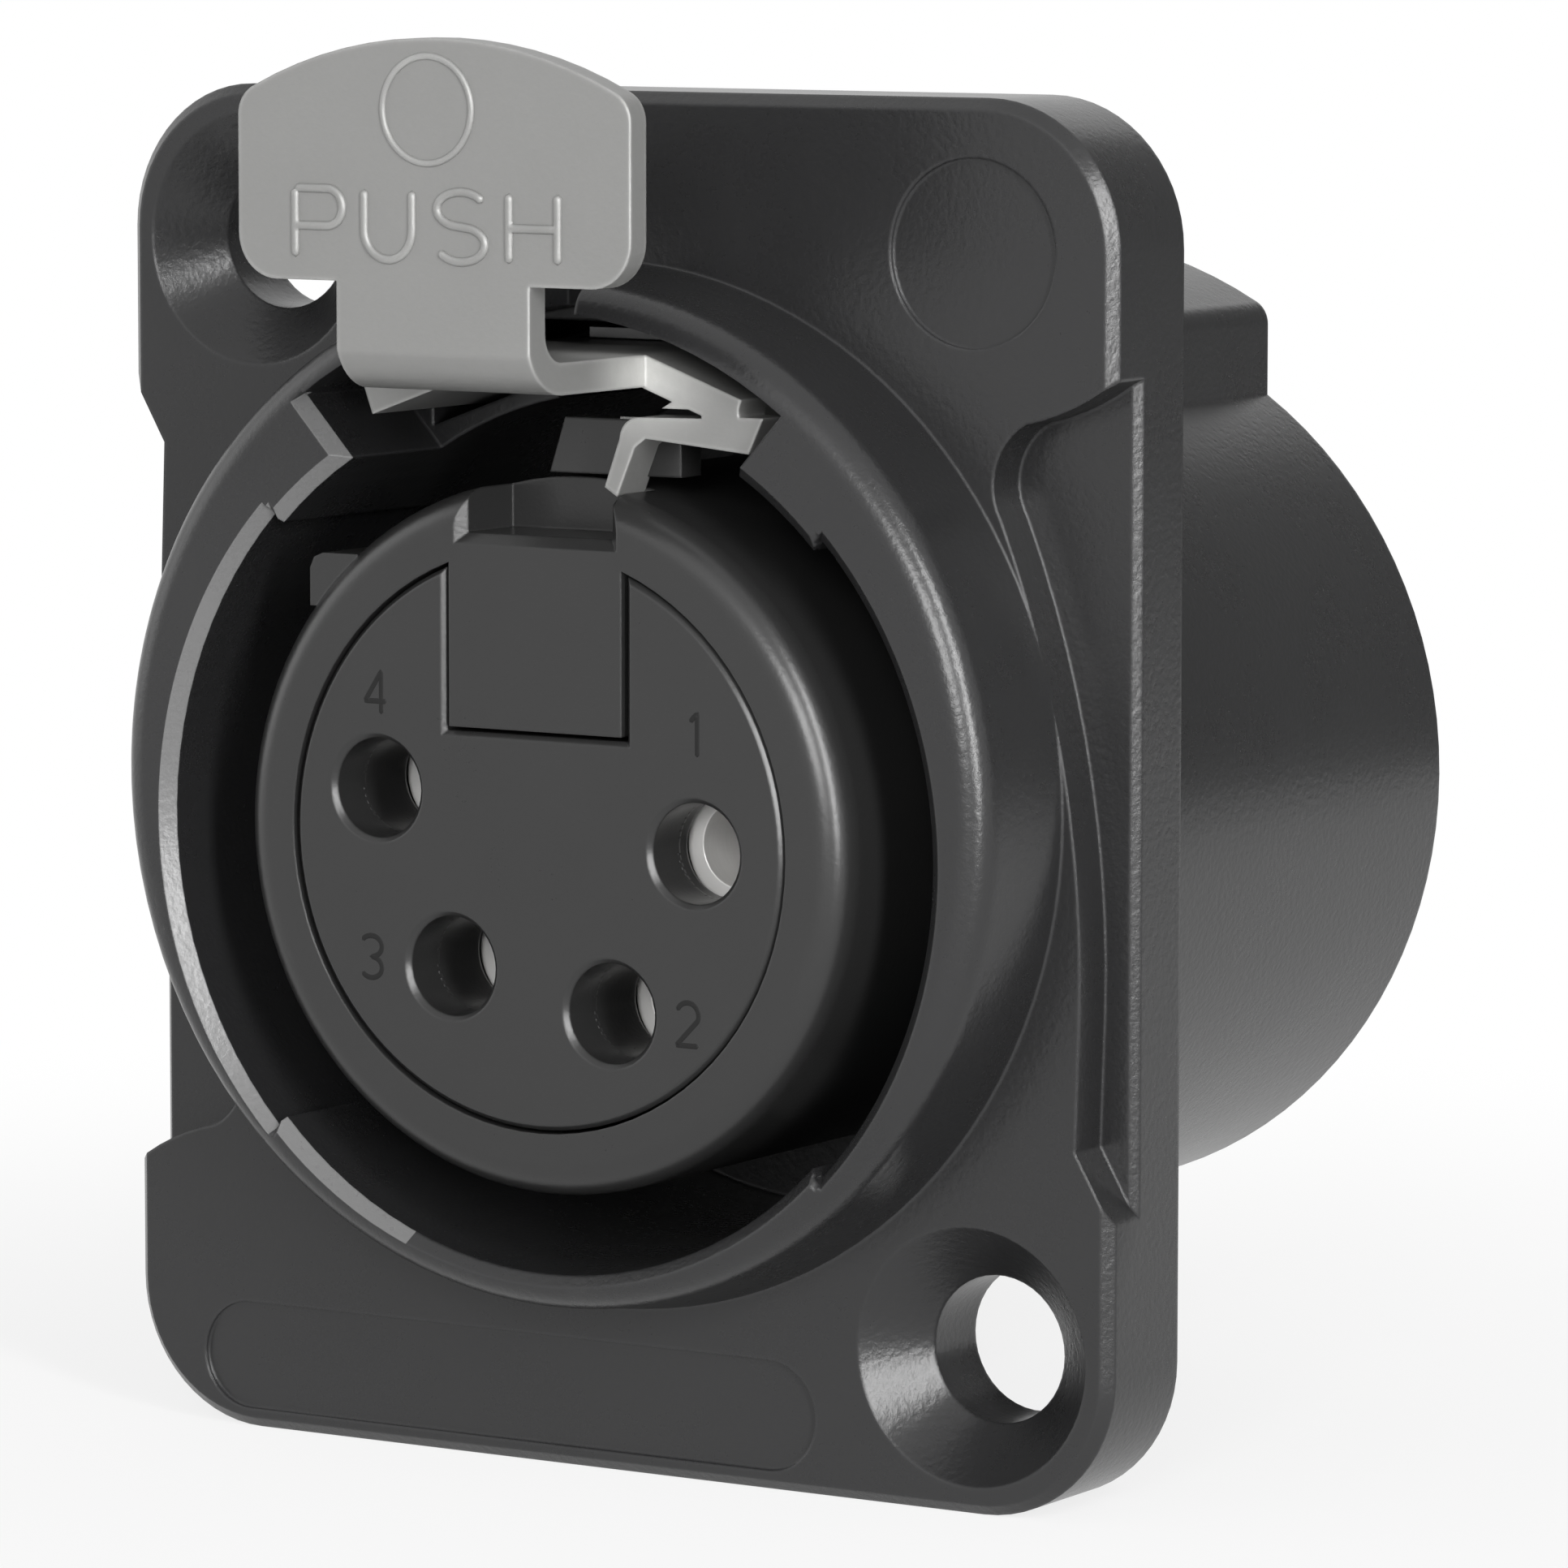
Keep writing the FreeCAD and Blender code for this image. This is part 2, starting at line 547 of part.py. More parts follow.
def side_recesses(body):
    """Recess in each long side of the flange's face, one the half turn of the other."""
    outline = front_sketch(body, "recess_outline", f"-flange_thickness - {PAST}")
    edge = "flange_width / 2"
    draw(outline, [
        (f"{edge} + {PAST}", "recess_top"),
        (edge, "recess_top", "lead_round", -1),
        (f"{edge} - shoulder_in", "shoulder_height", "shoulder_round", 1),
        (f"{edge} - heel_in", "heel_height", "flank_round", -1),
        (f"{edge} - foot_in", "-foot_drop"),
        (f"{edge} - ankle_in", "-ankle_drop"),
        (edge, "-recess_toe"),
        (f"{edge} + {PAST}", "-recess_toe"),
    ])
    recess = cut_rearward(body, "side_recess", outline, f"{PAST} + recess_depth")
    axis = new_sketch(body, "recess_axis", "XY_Plane")
    pattern = half_turn(body, "side_recesses", recess, axis)
    floor, half = number("recess_depth - flange_thickness"), number(edge)

    def floor_edge(item):
        return lies_at(item, floor) and abs(abs(item.CenterOfMass.x) - half) < 0.01

    ease(body, "Chamfer", "recess_bevels", pattern, floor_edge, "recess_bevel")


def screw_holes(body):
    """Two countersunk holes across one diagonal of the flange."""
    outline = front_sketch(body, "screw_places", "-flange_thickness")
    draw_circle(outline, "-screw_spacing_x / 2", "screw_spacing_z / 2", "screw_hole / 2")
    draw_circle(outline, "screw_spacing_x / 2", "-screw_spacing_z / 2", "screw_hole / 2")
    document.recompute()
    hole = body.newObject("PartDesign::Hole", "screw_holes")
    hole.Profile = outline
    hole.Threaded = False
    hole.DepthType = "ThroughAll"
    hole.HoleCutType = "Countersink"
    hole.HoleCutCustomValues = True
    bind(hole, "Diameter", "screw_hole")
    bind(hole, "HoleCutDiameter", "countersink")
    bind(hole, "HoleCutCountersinkAngle", "countersink_angle")


def bare_fields(body):
    """Shallow bare fields: a round one above, and a long one with round ends below."""
    outline = front_sketch(body, "field_outlines", f"-flange_thickness - {PAST}")
    draw_circle(outline, "flange_width / 2 - mark_in", "flange_height / 2 - mark_down", "mark_radius")
    middle = "plate_up - flange_height / 2"
    left = "plate_start - flange_width / 2"
    right = f"{left} + plate_run"
    draw(outline, [
        (left, f"{middle} - plate_half"),
        (right, f"{middle} - plate_half", "plate_half", 1),
        (f"{right} + plate_half", middle, "plate_half", 1),
        (right, f"{middle} + plate_half"),
        (left, f"{middle} + plate_half", "plate_half", 1),
        (f"{left} - plate_half", middle, "plate_half", 1),
    ])
    cut_rearward(body, "bare_fields", outline, f"{PAST} + mark_depth")


def make_shell():
    """Die casting: flange, front ring, barrel, latch ridge and the floor of the plug's cavity."""
    body = new_body("shell")
    flange_and_ring(body)
    barrel_and_ridge(body)
    plug_cavity(body)
    latch_room(body)
    side_recesses(body)
    screw_holes(body)
    bare_fields(body)
    return body


def make_insert_sleeve():
    """Boss in the middle of the socket, with its rear flange, tongue, latch slot and nub."""
    body = new_body("insert_sleeve", on_socket_axis=True)
    profile = new_sketch(body, "sleeve_profile", "XY_Plane")
    draw(profile, [
        ("boss_bore", BOSS_FRONT),
        ("boss_bore", SLEEVE_REAR),
        (STACK_RADIUS, SLEEVE_REAR),
        (STACK_RADIUS, WEB_REAR),
        ("boss_radius", WEB_REAR),
        ("boss_radius", f"{BOSS_FRONT} + boss_round", "boss_round", -1),
        ("boss_radius - boss_round", BOSS_FRONT),
    ])
    turned(body, "Revolution", "sleeve", profile)
    tongue = front_sketch(body, "tongue_outline", BOSS_FRONT)
    draw(tongue, [
        ("-tongue_half", "tongue_foot"),
        ("tongue_half", "tongue_foot"),
        ("tongue_half", "boss_bore + 0.1"),
        ("-tongue_half", "boss_bore + 0.1"),
    ])
    pad_rearward(body, "tongue", tongue, "tongue_depth")
    nub = front_sketch(body, "nub_outline", f"{BOSS_FRONT} + nub_inset")
    corners = []
    for radius, half in (("boss_radius - 0.5", 1), ("boss_radius - 0.5", -1),
                         ("nub_reach", -1), ("nub_reach", 1)):
        out, aside = f"({radius})", f"({half} * nub_width / 2)"
        corners.append((f"{out} * cos(nub_angle) - {aside} * sin(nub_angle)",
                        f"{out} * sin(nub_angle) + {aside} * cos(nub_angle)"))
    draw(nub, corners)
    pad_rearward(body, "nub", nub, f"{CAVITY_FLOOR} - {BOSS_FRONT} - nub_inset")
    slot = front_sketch(body, "boss_slot_outline", f"{BOSS_FRONT} - {PAST}")
    draw(slot, [
        ("-boss_slot_half", "boss_slot_floor"),
        ("boss_slot_half", "boss_slot_floor"),
        ("boss_slot_half", f"boss_radius + {PAST}"),
        ("-boss_slot_half", f"boss_radius + {PAST}"),
    ])
    cut_rearward(body, "boss_slot", slot, f"{PAST} + boss_slot_depth")
    return body


CONTACTS = {
    "contact_1": ("contact_one_x", "contact_one_z", "first_set_back", "slit_angle"),
    "contact_2": ("contact_two_x", "contact_two_z", "other_set_back", "slit_angle"),
    "contact_3": ("contact_three_x", "contact_three_z", "other_set_back", "180 - slit_angle"),
    "contact_4": ("contact_four_x", "contact_four_z", "other_set_back", "180 - slit_angle"),
}


def make_contact_carrier():
    """Disc with the keyway and the pin entries, and behind it the flange and boss that hold the contacts."""
    body = new_body("contact_carrier", on_socket_axis=True)
    profile = new_sketch(body, "carrier_profile", "XY_Plane")
    disc = "boss_bore - disc_clearance"
    draw(profile, [
        ("0", BOSS_FRONT),
        ("0", CARRIER_END),
        ("carrier_boss", CARRIER_END),
        ("carrier_boss", CARRIER_REAR),
        (STACK_RADIUS, CARRIER_REAR),
        (STACK_RADIUS, SLEEVE_REAR),
        (disc, SLEEVE_REAR),
        (disc, BOSS_FRONT),
    ])
    turned(body, "Revolution", "carrier", profile)
    keyway = front_sketch(body, "keyway_outline", f"{BOSS_FRONT} - {PAST}")
    draw(keyway, [
        ("-tongue_half - tongue_clearance", "tongue_foot - tongue_clearance"),
        ("tongue_half + tongue_clearance", "tongue_foot - tongue_clearance"),
        ("tongue_half + tongue_clearance", f"boss_bore + {PAST}"),
        ("-tongue_half - tongue_clearance", f"boss_bore + {PAST}"),
    ])
    cut_rearward(body, "keyway", keyway, f"{PAST} + tongue_depth + tongue_clearance")
    entries = front_sketch(body, "pin_entries_outline", f"{BOSS_FRONT} - {PAST}")
    tubes = front_sketch(body, "contact_holes_outline", f"{BOSS_FRONT} + lip_depth")
    seats = front_sketch(body, "collar_seats_outline", COLLAR_FRONT)
    for across, up, _, _ in CONTACTS.values():
        draw_circle(entries, across, up, "lip_radius")
        draw_circle(tubes, across, up, "contact_radius + contact_clearance")
        draw_circle(seats, across, up, "collar_radius + contact_clearance")
    entry = cut_rearward(body, "pin_entries", entries, f"{PAST} + lip_depth + {PAST}")
    front, radius = number(BOSS_FRONT), number("lip_radius")

    def mouth(edge):
        return lies_at(edge, front) and abs(edge.BoundBox.XLength - 2 * radius) < 0.01

    ease(body, "Chamfer", "pin_entry_chamfers", entry, mouth, "lip_chamfer")
    cut_rearward(body, "contact_holes", tubes, f"{COLLAR_FRONT} - {BOSS_FRONT} - lip_depth + {PAST}")
    cut_rearward(body, "collar_seats", seats, f"collar_seat + {PAST}")
    return body


def make_contact(label):
    """Turned contact: slit tube for the pin, collar, and a solder cup behind."""
    across, up, set_back, turn = CONTACTS[label]
    body = new_body(label)
    bind(body, "Placement.Base.x", across)
    bind(body, "Placement.Base.z", f"{up} - axis_drop")
    mouth = f"({BOSS_FRONT} + lip_depth + {set_back})"
    cup_end = f"({CARRIER_END} + cup_length)"
    profile = new_sketch(body, "contact_profile", "XY_Plane")
    draw(profile, [
        ("0", f"{mouth} + contact_bore_depth"),
        ("0", f"{cup_end} - cup_depth"),
        ("cup_bore", f"{cup_end} - cup_depth"),
        ("cup_bore", cup_end),
        ("contact_radius", cup_end),
        ("contact_radius", f"{COLLAR_FRONT} + collar_thickness"),
        ("collar_radius", f"{COLLAR_FRONT} + collar_thickness"),
        ("collar_radius", COLLAR_FRONT),
        ("contact_radius", COLLAR_FRONT),
        ("contact_radius", mouth),
        ("contact_bore + contact_mouth", mouth),
        ("contact_bore", f"{mouth} + contact_mouth"),
        ("contact_bore", f"{mouth} + contact_bore_depth"),
    ])
    turned(body, "Revolution", "turned_tube", profile)
    slit = front_sketch(body, "slit_outline", f"{mouth} - {PAST}")
    corners = []
    for radius, half in (("0", -1), ("contact_radius + 1", -1), ("contact_radius + 1", 1), ("0", 1)):
        out, aside = f"({radius})", f"({half} * slit_width / 2)"
        corners.append((f"{out} * cos({turn}) - {aside} * sin({turn})",
                        f"{out} * sin({turn}) + {aside} * cos({turn})"))
    draw(slit, corners)
    cut_rearward(body, "slit", slit, f"{PAST} + slit_length")
    cup = front_sketch(body, "cup_opening_outline", f"{cup_end} - cup_depth + cup_bore")
    draw(cup, [
        ("-contact_radius - 1", "0"),
        ("contact_radius + 1", "0"),
        ("contact_radius + 1", "contact_radius + 1"),
        ("-contact_radius - 1", "contact_radius + 1"),
    ])
    cut_rearward(body, "cup_opening", cup, f"cup_depth + {PAST}")
    return body


def make_ground_lug():
    """Washer behind the carrier's flange, with a solder tag bent to the rear."""
    body = new_body("ground_lug", on_socket_axis=True)
    inner = "(carrier_boss + lug_clearance)"
    washer = front_sketch(body, "washer_outline", CARRIER_REAR)
    draw_circle(washer, "0", "0", STACK_RADIUS)
    draw_circle(washer, "0", "0", inner)
    pad_rearward(body, "washer", washer, "lug_thickness")
    tag = front_sketch(body, "tag_outline", CARRIER_REAR)
    draw(tag, [
        ("-tag_half", f"-{inner} - lug_thickness"),
        ("tag_half", f"-{inner} - lug_thickness"),
        ("tag_half", f"-sqrt({inner} ^ 2 - tag_half ^ 2)"),
        ("-tag_half", f"-sqrt({inner} ^ 2 - tag_half ^ 2)"),
    ])
    pad_rearward(body, "tag", tag, "lug_thickness + tag_length")
    eye = new_sketch(body, "eye_outline", "XY_Plane", f"-{inner} - lug_thickness - {PAST}")
    draw_circle(eye, "0", f"{CARRIER_REAR} + tag_length - 2 * tag_eye", "tag_eye")
    prism(body, "Pocket", "eye", eye, f"2 * {PAST} + 2 * lug_thickness", reverse=True)
    return body


def make_retaining_ring():
    """Ring that closes the stack in the rear bore, with two notches for a spanner."""
    body = new_body("retaining_ring", on_socket_axis=True)
    outline = front_sketch(body, "ring_outline", LUG_REAR)
    draw_circle(outline, "0", "0", STACK_RADIUS)
    draw_circle(outline, "0", "0", "lock_ring_inner")
    pad_rearward(body, "lock_ring", outline, "lock_ring_thickness")
    notch = front_sketch(body, "notch_outline", f"{LUG_REAR} + lock_ring_thickness - lock_notch_depth")
    draw(notch, [
        (f"-rear_bore - {PAST}", "-lock_notch / 2"),
        (f"rear_bore + {PAST}", "-lock_notch / 2"),
        (f"rear_bore + {PAST}", "lock_notch / 2"),
        (f"-rear_bore - {PAST}", "lock_notch / 2"),
    ])
    cut_rearward(body, "spanner_notches", notch, f"lock_notch_depth + {PAST}")
    return body


def make_ground_spring():
    """Sprung strip on the cavity's wall: it grounds the plug's shell. Its front end kicks inwards."""
    body = new_body("ground_spring", on_socket_axis=True)
    outline = new_sketch(body, "strip_profile", "XY_Plane")
    outer = "(bore_radius - strip_wall_gap)"
    front = f"({CAVITY_FLOOR} - strip_length)"
    draw(outline, [
        (f"{outer} - strip_sheet", CAVITY_FLOOR),
        (outer, CAVITY_FLOOR),
        (outer, f"{front} + strip_length / 4"),
        (f"{outer} - strip_kick", front),
        (f"{outer} - strip_kick - strip_sheet", front),
        (f"{outer} - strip_sheet", f"{front} + strip_length / 4"),
    ])
    turned(body, "Revolution", "strip", outline, "strip_span", centred=True)
    bind(body, "Placement.Rotation.Angle", "-strip_angle")
    body.Placement.Rotation.Axis = Vector(0, 1, 0)
    return body


def tab_outline(sketch):
    """Tab with rounded lower corners, rounded shoulders and an arched top."""
    base = "(tab_top - tab_top_round)"
    inset = "(tab_half - tab_shoulder_round)"
    rise = f"sqrt((tab_top_round - tab_shoulder_round) ^ 2 - {inset} ^ 2)"
    share = "(tab_top_round / (tab_top_round - tab_shoulder_round))"
    draw(sketch, [
        ("-tab_half + tab_foot_round", "tab_foot"),
        ("tab_half - tab_foot_round", "tab_foot", "tab_foot_round", 1),
        ("tab_half", "tab_foot + tab_foot_round"),
        ("tab_half", f"{base} + {rise}", "tab_shoulder_round", 1),
        (f"{inset} * {share}", f"{base} + {rise} * {share}", "tab_top_round", 1),
        (f"-{inset} * {share}", f"{base} + {rise} * {share}", "tab_shoulder_round", 1),
        ("-tab_half", f"{base} + {rise}"),
        ("-tab_half", "tab_foot + tab_foot_round", "tab_foot_round", 1),
    ])


def hook_outline(sketch):
    """Strip that leaves the right wing, runs inwards as a shelf and turns down to the hook's tip."""
    shelf = f"({ARM_TOP} - hook_shelf)"
    tip = f"({ARM_TOP} - hook_drop)"
    draw(sketch, [
        ("wing_half - 1.02", f"{shelf} + 0.3"),
        ("wing_half - 1.02", shelf),
        ("arm_half - 0.14", f"{shelf} - 0.03", "hook_round", 1),
        ("arm_half - 0.67", f"{shelf} - 0.51"),
        ("arm_half - 1.06", f"{tip} + 0.17"),
        ("arm_half - 0.74", f"{tip} - 0.03"),
        ("arm_half - 0.28", f"{shelf} - 0.69"),
        ("arm_half", f"{shelf} - 0.49"),
        ("wing_half + 0.19", f"{shelf} - 0.73"),
        ("wing_half + 0.56", f"{shelf} + 0.06"),
        ("wing_half - 0.07", f"{shelf} + 0.06"),
        ("wing_half - 0.07", f"{shelf} + 0.3"),
    ])


def make_latch_lever():
    """Bent and stamped sheet: push tab, neck, arm, arched plate with ears, hook and latch tooth."""
    body = new_body("latch_lever")
    strip = new_sketch(body, "strip_outline", "YZ_Plane")
    outside = "(bend_inside + lever_sheet)"
    inner_face = f"({TAB_FRONT} + lever_sheet)"
    joint = "tab_foot + tab_foot_round"
    draw(strip, [
        (TAB_FRONT, joint),
        (TAB_FRONT, f"{ARM_UNDER} + {outside}", outside, 1),
        (f"{TAB_FRONT} + {outside}", ARM_UNDER),
        (LEVER_TAIL, ARM_UNDER),
        (LEVER_TAIL, ARM_TOP),
        (f"{inner_face} + bend_inside", ARM_TOP, "bend_inside", -1),
        (inner_face, f"{ARM_TOP} + bend_inside"),
        (inner_face, joint),
    ])
    prism(body, "Pad", "neck_and_arm", strip, "2 * arm_half", both_ways=True)

    tab = front_sketch(body, "tab_outline", TAB_FRONT)
    tab_outline(tab)
    pad_rearward(body, "push_tab", tab, "lever_sheet")

    plate = front_sketch(body, "plate_outline", WING_FRONT)
    kink = "(arm_half - lever_sheet * tan(wing_slope / 2))"
    end_x, end_z = "(wing_half - lever_sheet * sin(wing_slope))", "lever_sheet * cos(wing_slope)"
    top = wing_line("wing_half", ARM_TOP)
    draw(plate, [
        (f"-{end_x}", f"{top} - {end_z}"),
        (f"-{kink}", ARM_UNDER),
        (kink, ARM_UNDER),
        (end_x, f"{top} - {end_z}"),
        ("wing_half", top),
        ("arm_half", ARM_TOP),
        ("-arm_half", ARM_TOP),
        ("-wing_half", top),
    ])
    pad_rearward(body, "arched_plate", plate, f"{LEVER_TAIL} - {WING_FRONT}")

    hook = front_sketch(body, "hook_outline", WING_FRONT)
    hook_outline(hook)
    pad_rearward(body, "hook", hook, "hook_depth")

    tooth = front_sketch(body, "tooth_outline", f"{WING_FRONT} + hook_depth - 0.1")
    foot = "(boss_radius - axis_drop + tooth_gap)"
    draw(tooth, [
        ("-tooth_left", foot),
        ("tooth_right", foot),
        ("tooth_right", f"{foot} + tooth_height"),
        ("-tooth_left", f"{foot} + tooth_height"),
    ])
    pad_rearward(body, "latch_tooth", tooth, "tooth_thickness + 0.1")

    for side_name, sign in (("left", -1), ("right", 1)):
        ear = new_sketch(body, f"ear_outline_{side_name}", "YZ_Plane", f"{sign} * ear_inner")
        draw_circle(ear, "pin_back", PIN_HEIGHT, "ear_radius")
        prism(body, "Pad", f"ear_{side_name}", ear, "wing_half - ear_inner", reverse=sign < 0)
    for side_name, sign in (("left", -1), ("right", 1)):
        eye = new_sketch(body, f"ear_eye_outline_{side_name}", "YZ_Plane", f"{sign} * (wing_half + {PAST})")
        draw_circle(eye, "pin_back", PIN_HEIGHT, "pin_radius + pin_running")
        prism(body, "Pocket", f"ear_eye_{side_name}", eye, f"wing_half + {PAST} - pin_inner + ear_gap",
              reverse=sign < 0)
    return body


def make_latch_pin(label, sign):
    """Short pin through the ridge's wall and the lever's ear."""
    pin = document.addObject("Part::Cylinder", label)
    pin.Label = label
    bind(pin, "Radius", "pin_radius")
    bind(pin, "Height", "ridge_half - pin_inner")
    pin.Placement = FreeCAD.Placement(Vector(), FreeCAD.Rotation(Vector(0, 1, 0), 90))
    bind(pin, "Placement.Base.x", "pin_inner" if sign > 0 else "-ridge_half")
    bind(pin, "Placement.Base.y", "pin_back")
    bind(pin, "Placement.Base.z", PIN_HEIGHT)
    return pin


def make_latch_spring():
    """Leaf spring that lies in the ridge's hollow and presses on the lever before its pins."""
    body = new_body("latch_spring")
    outline = new_sketch(body, "leaf_outline", "YZ_Plane")
    line = [
        ("leaf_end", LEAF_SEAT),
        ("leaf_seat", LEAF_SEAT),
        ("leaf_crest", f"{ARM_TOP} + leaf_crest_rise"),
        ("-leaf_reach", f"{ARM_TOP} + leaf_touch"),
    ]
    upper = [(along, f"{up} + leaf_sheet") for along, up in reversed(line)]
    draw(outline, line[::-1] + upper[::-1])
    prism(body, "Pad", "leaf", outline, "2 * leaf_half", both_ways=True)
    return body


def check(pieces):
    """Stop if any object of the document failed or any piece is not one sound shape."""
    failed = [thing.Name for thing in document.Objects if {"Invalid", "Error"} & set(thing.State)]
    failed += [piece.Label for piece in pieces
               if piece.Shape.isNull() or not piece.Shape.isValid() or len(piece.Shape.Solids) != 1]
    if failed:
        raise RuntimeError("not sound: " + ", ".join(failed))


def main():
    pieces = [make_shell(), make_insert_sleeve(), make_contact_carrier()]
    pieces += [make_contact(label) for label in CONTACTS]
    pieces += [make_ground_lug(), make_retaining_ring(), make_ground_spring()]
    pieces += [make_latch_lever(), make_latch_pin("latch_pin_left", -1), make_latch_pin("latch_pin_right", 1)]
    pieces.append(make_latch_spring())
    document.recompute()
    check(pieces)
    os.makedirs("parts", exist_ok=True)
    for piece in pieces:
        piece.Shape.exportStep(f"parts/{piece.Label}.step")
        box = piece.Shape.BoundBox
        print(f"{piece.Label}: {piece.Shape.Volume:.2f} mm3, {len(piece.Shape.Faces)} faces, "
              f"x {box.XMin:.2f} {box.XMax:.2f} y {box.YMin:.2f} {box.YMax:.2f} z {box.ZMin:.2f} {box.ZMax:.2f}")


main()
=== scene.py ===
"""Panel socket with a push latch, finished for its picture.

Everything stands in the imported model's frame: X across the flange, Y from front to rear, Z up.
Lengths are in metres, but the plain numbers of the cutting tools and of the operators that shape
pieces are in millimetres.
"""

import math

import bmesh
import bpy
import numpy as np
from mathutils import Matrix, Vector


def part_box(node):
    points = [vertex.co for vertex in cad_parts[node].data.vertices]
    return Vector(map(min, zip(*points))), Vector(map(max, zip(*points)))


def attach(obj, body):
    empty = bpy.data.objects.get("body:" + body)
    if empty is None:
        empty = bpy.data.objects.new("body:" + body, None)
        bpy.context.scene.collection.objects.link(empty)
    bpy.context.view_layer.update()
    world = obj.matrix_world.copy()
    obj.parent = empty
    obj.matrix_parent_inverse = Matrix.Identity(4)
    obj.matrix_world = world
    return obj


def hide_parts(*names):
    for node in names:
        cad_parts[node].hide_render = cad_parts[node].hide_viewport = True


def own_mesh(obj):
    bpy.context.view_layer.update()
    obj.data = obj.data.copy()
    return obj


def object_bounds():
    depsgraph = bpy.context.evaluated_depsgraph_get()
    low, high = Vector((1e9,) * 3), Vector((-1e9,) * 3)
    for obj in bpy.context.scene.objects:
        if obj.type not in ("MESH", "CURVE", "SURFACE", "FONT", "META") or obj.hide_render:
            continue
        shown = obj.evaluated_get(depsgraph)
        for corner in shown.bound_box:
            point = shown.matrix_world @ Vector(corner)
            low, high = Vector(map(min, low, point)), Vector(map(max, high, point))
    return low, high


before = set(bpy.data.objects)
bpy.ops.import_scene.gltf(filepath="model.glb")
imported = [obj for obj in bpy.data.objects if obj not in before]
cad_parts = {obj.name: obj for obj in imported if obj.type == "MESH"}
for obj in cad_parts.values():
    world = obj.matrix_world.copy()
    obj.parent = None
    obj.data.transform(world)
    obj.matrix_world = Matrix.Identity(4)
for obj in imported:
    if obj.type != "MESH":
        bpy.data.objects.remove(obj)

bl_info = {
    "name": "Panel socket",
    "version": (1, 0, 0),
    "blender": (4, 5, 0),
    "location": "3D View > Sidebar > Socket",
    "description": "Finishes, lettering and stage for a panel socket with a push latch",
    "category": "Object",
}

CAD_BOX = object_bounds()
MM = 0.001
# Edges that turn by more than this stay sharp, and points closer than the distance are welded
SHARP_ANGLE = math.radians(32)
WELD_DISTANCE = 0.002 * MM

# Places that the finishing cuts share, in millimetres: the ring's and the insert's front faces, and
# the height of the socket's axis
RING_FRONT = -5.8
INSERT_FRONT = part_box("insert_sleeve")[0].y / MM
AXIS_HEIGHT = -0.94
# How far a cutting tool reaches past the face that it cuts
PAST = 0.1


def color_property(name, description, default):
    """A colour that the panel shows as a swatch."""
    return bpy.props.FloatVectorProperty(
        name=name, description=description, default=default, subtype="COLOR", size=3,
        min=0, max=1)


def length_property(name, description, millimetres):
    """A length, given in millimetres and kept in metres."""
    return bpy.props.FloatProperty(
        name=name, description=description, default=millimetres * MM, subtype="DISTANCE",
        unit="LENGTH", precision=5)


def share_property(name, description, default):
    """A share from 0 to 1."""
    return bpy.props.FloatProperty(
        name=name, description=description, default=default, subtype="FACTOR", min=0, max=1)


def angle_property(name, description, degrees):
    """An angle, given in degrees and kept in radians."""
    return bpy.props.FloatProperty(
        name=name, description=description, default=math.radians(degrees), subtype="ANGLE")


def strength_property(name, description, default):
    """The radiance of a lamp's face, or of the world, where 1 is white."""
    return bpy.props.FloatProperty(name=name, description=description, default=default, min=0)


class SocketFinishes(bpy.types.PropertyGroup):
    """Colours and surfaces of the socket's pieces."""

    casting_color: color_property(
        "Casting", "Black coat of the shell", (0.016, 0.016, 0.0165))
    casting_roughness: share_property("Casting roughness", "Roughness of the shell's coat", 0.28)
    casting_grain: length_property("Casting grain", "Spacing of the coat's fine grain", 0.16)
    # Painted highlight on the bevels of the mouth's left edges, which the tab shades from the strip
    # lamp
    mouth_highlight_color: color_property(
        "Mouth highlight", "Coat where the mouth's left edges are rubbed", (0.13, 0.13, 0.13))
    moulding_color: color_property(
        "Moulding", "Black plastic of the insert", (0.018, 0.018, 0.018))
    moulding_roughness: share_property("Moulding roughness", "Roughness of the insert", 0.29)
    moulding_grain: length_property("Moulding grain", "Spacing of the moulding's grain", 0.10)
    gloss: share_property("Gloss", "Specular level of the coat and the plastic", 0.45)
    silver_color: color_property(
        "Contact plating", "Silver plate of the contacts", (0.92, 0.91, 0.89))
    silver_roughness: share_property("Contact roughness", "Roughness of the contacts", 0.3)
    silver_metal: share_property("Contact metal", "How metallic the contacts' plate looks", 0.3)
    tin_color: color_property("Tin plating", "Tin plate of the ground lug", (0.66, 0.66, 0.65))
    spring_color: color_property("Spring sheet", "Bare spring steel", (0.30, 0.30, 0.30))
    lever_color: color_property(
        "Lever sheet", "Satin plated sheet of the latch lever", (0.215, 0.215, 0.21))
    lever_roughness: share_property("Lever roughness", "Roughness of the lever", 0.42)
    lever_metal: share_property("Lever metal", "How metallic the lever's plate looks", 0.35)
    # Painted highlight round the crease where the lever's arm meets its wing
    crease_highlight_color: color_property(
        "Crease highlight", "Lever where it is rubbed bright", (0.50, 0.50, 0.485))
    number_color: color_property("Numbers", "Lines of the contact numbers", (0.008, 0.008, 0.008))
    edge_round: length_property("Edge round", "Softening of hard edges", 0.12)
    mouth_bevel: length_property(
        "Mouth bevel", "Bevel on the mouth of the cavity and its pocket", 0.3)
    slot_bevel: length_property("Slot bevel", "Bevel on the mouth of the boss's slot", 0.25)
    disc_bevel: length_property(
        "Disc bevel", "Bevel round the contact disc and its keyway", 0.12)


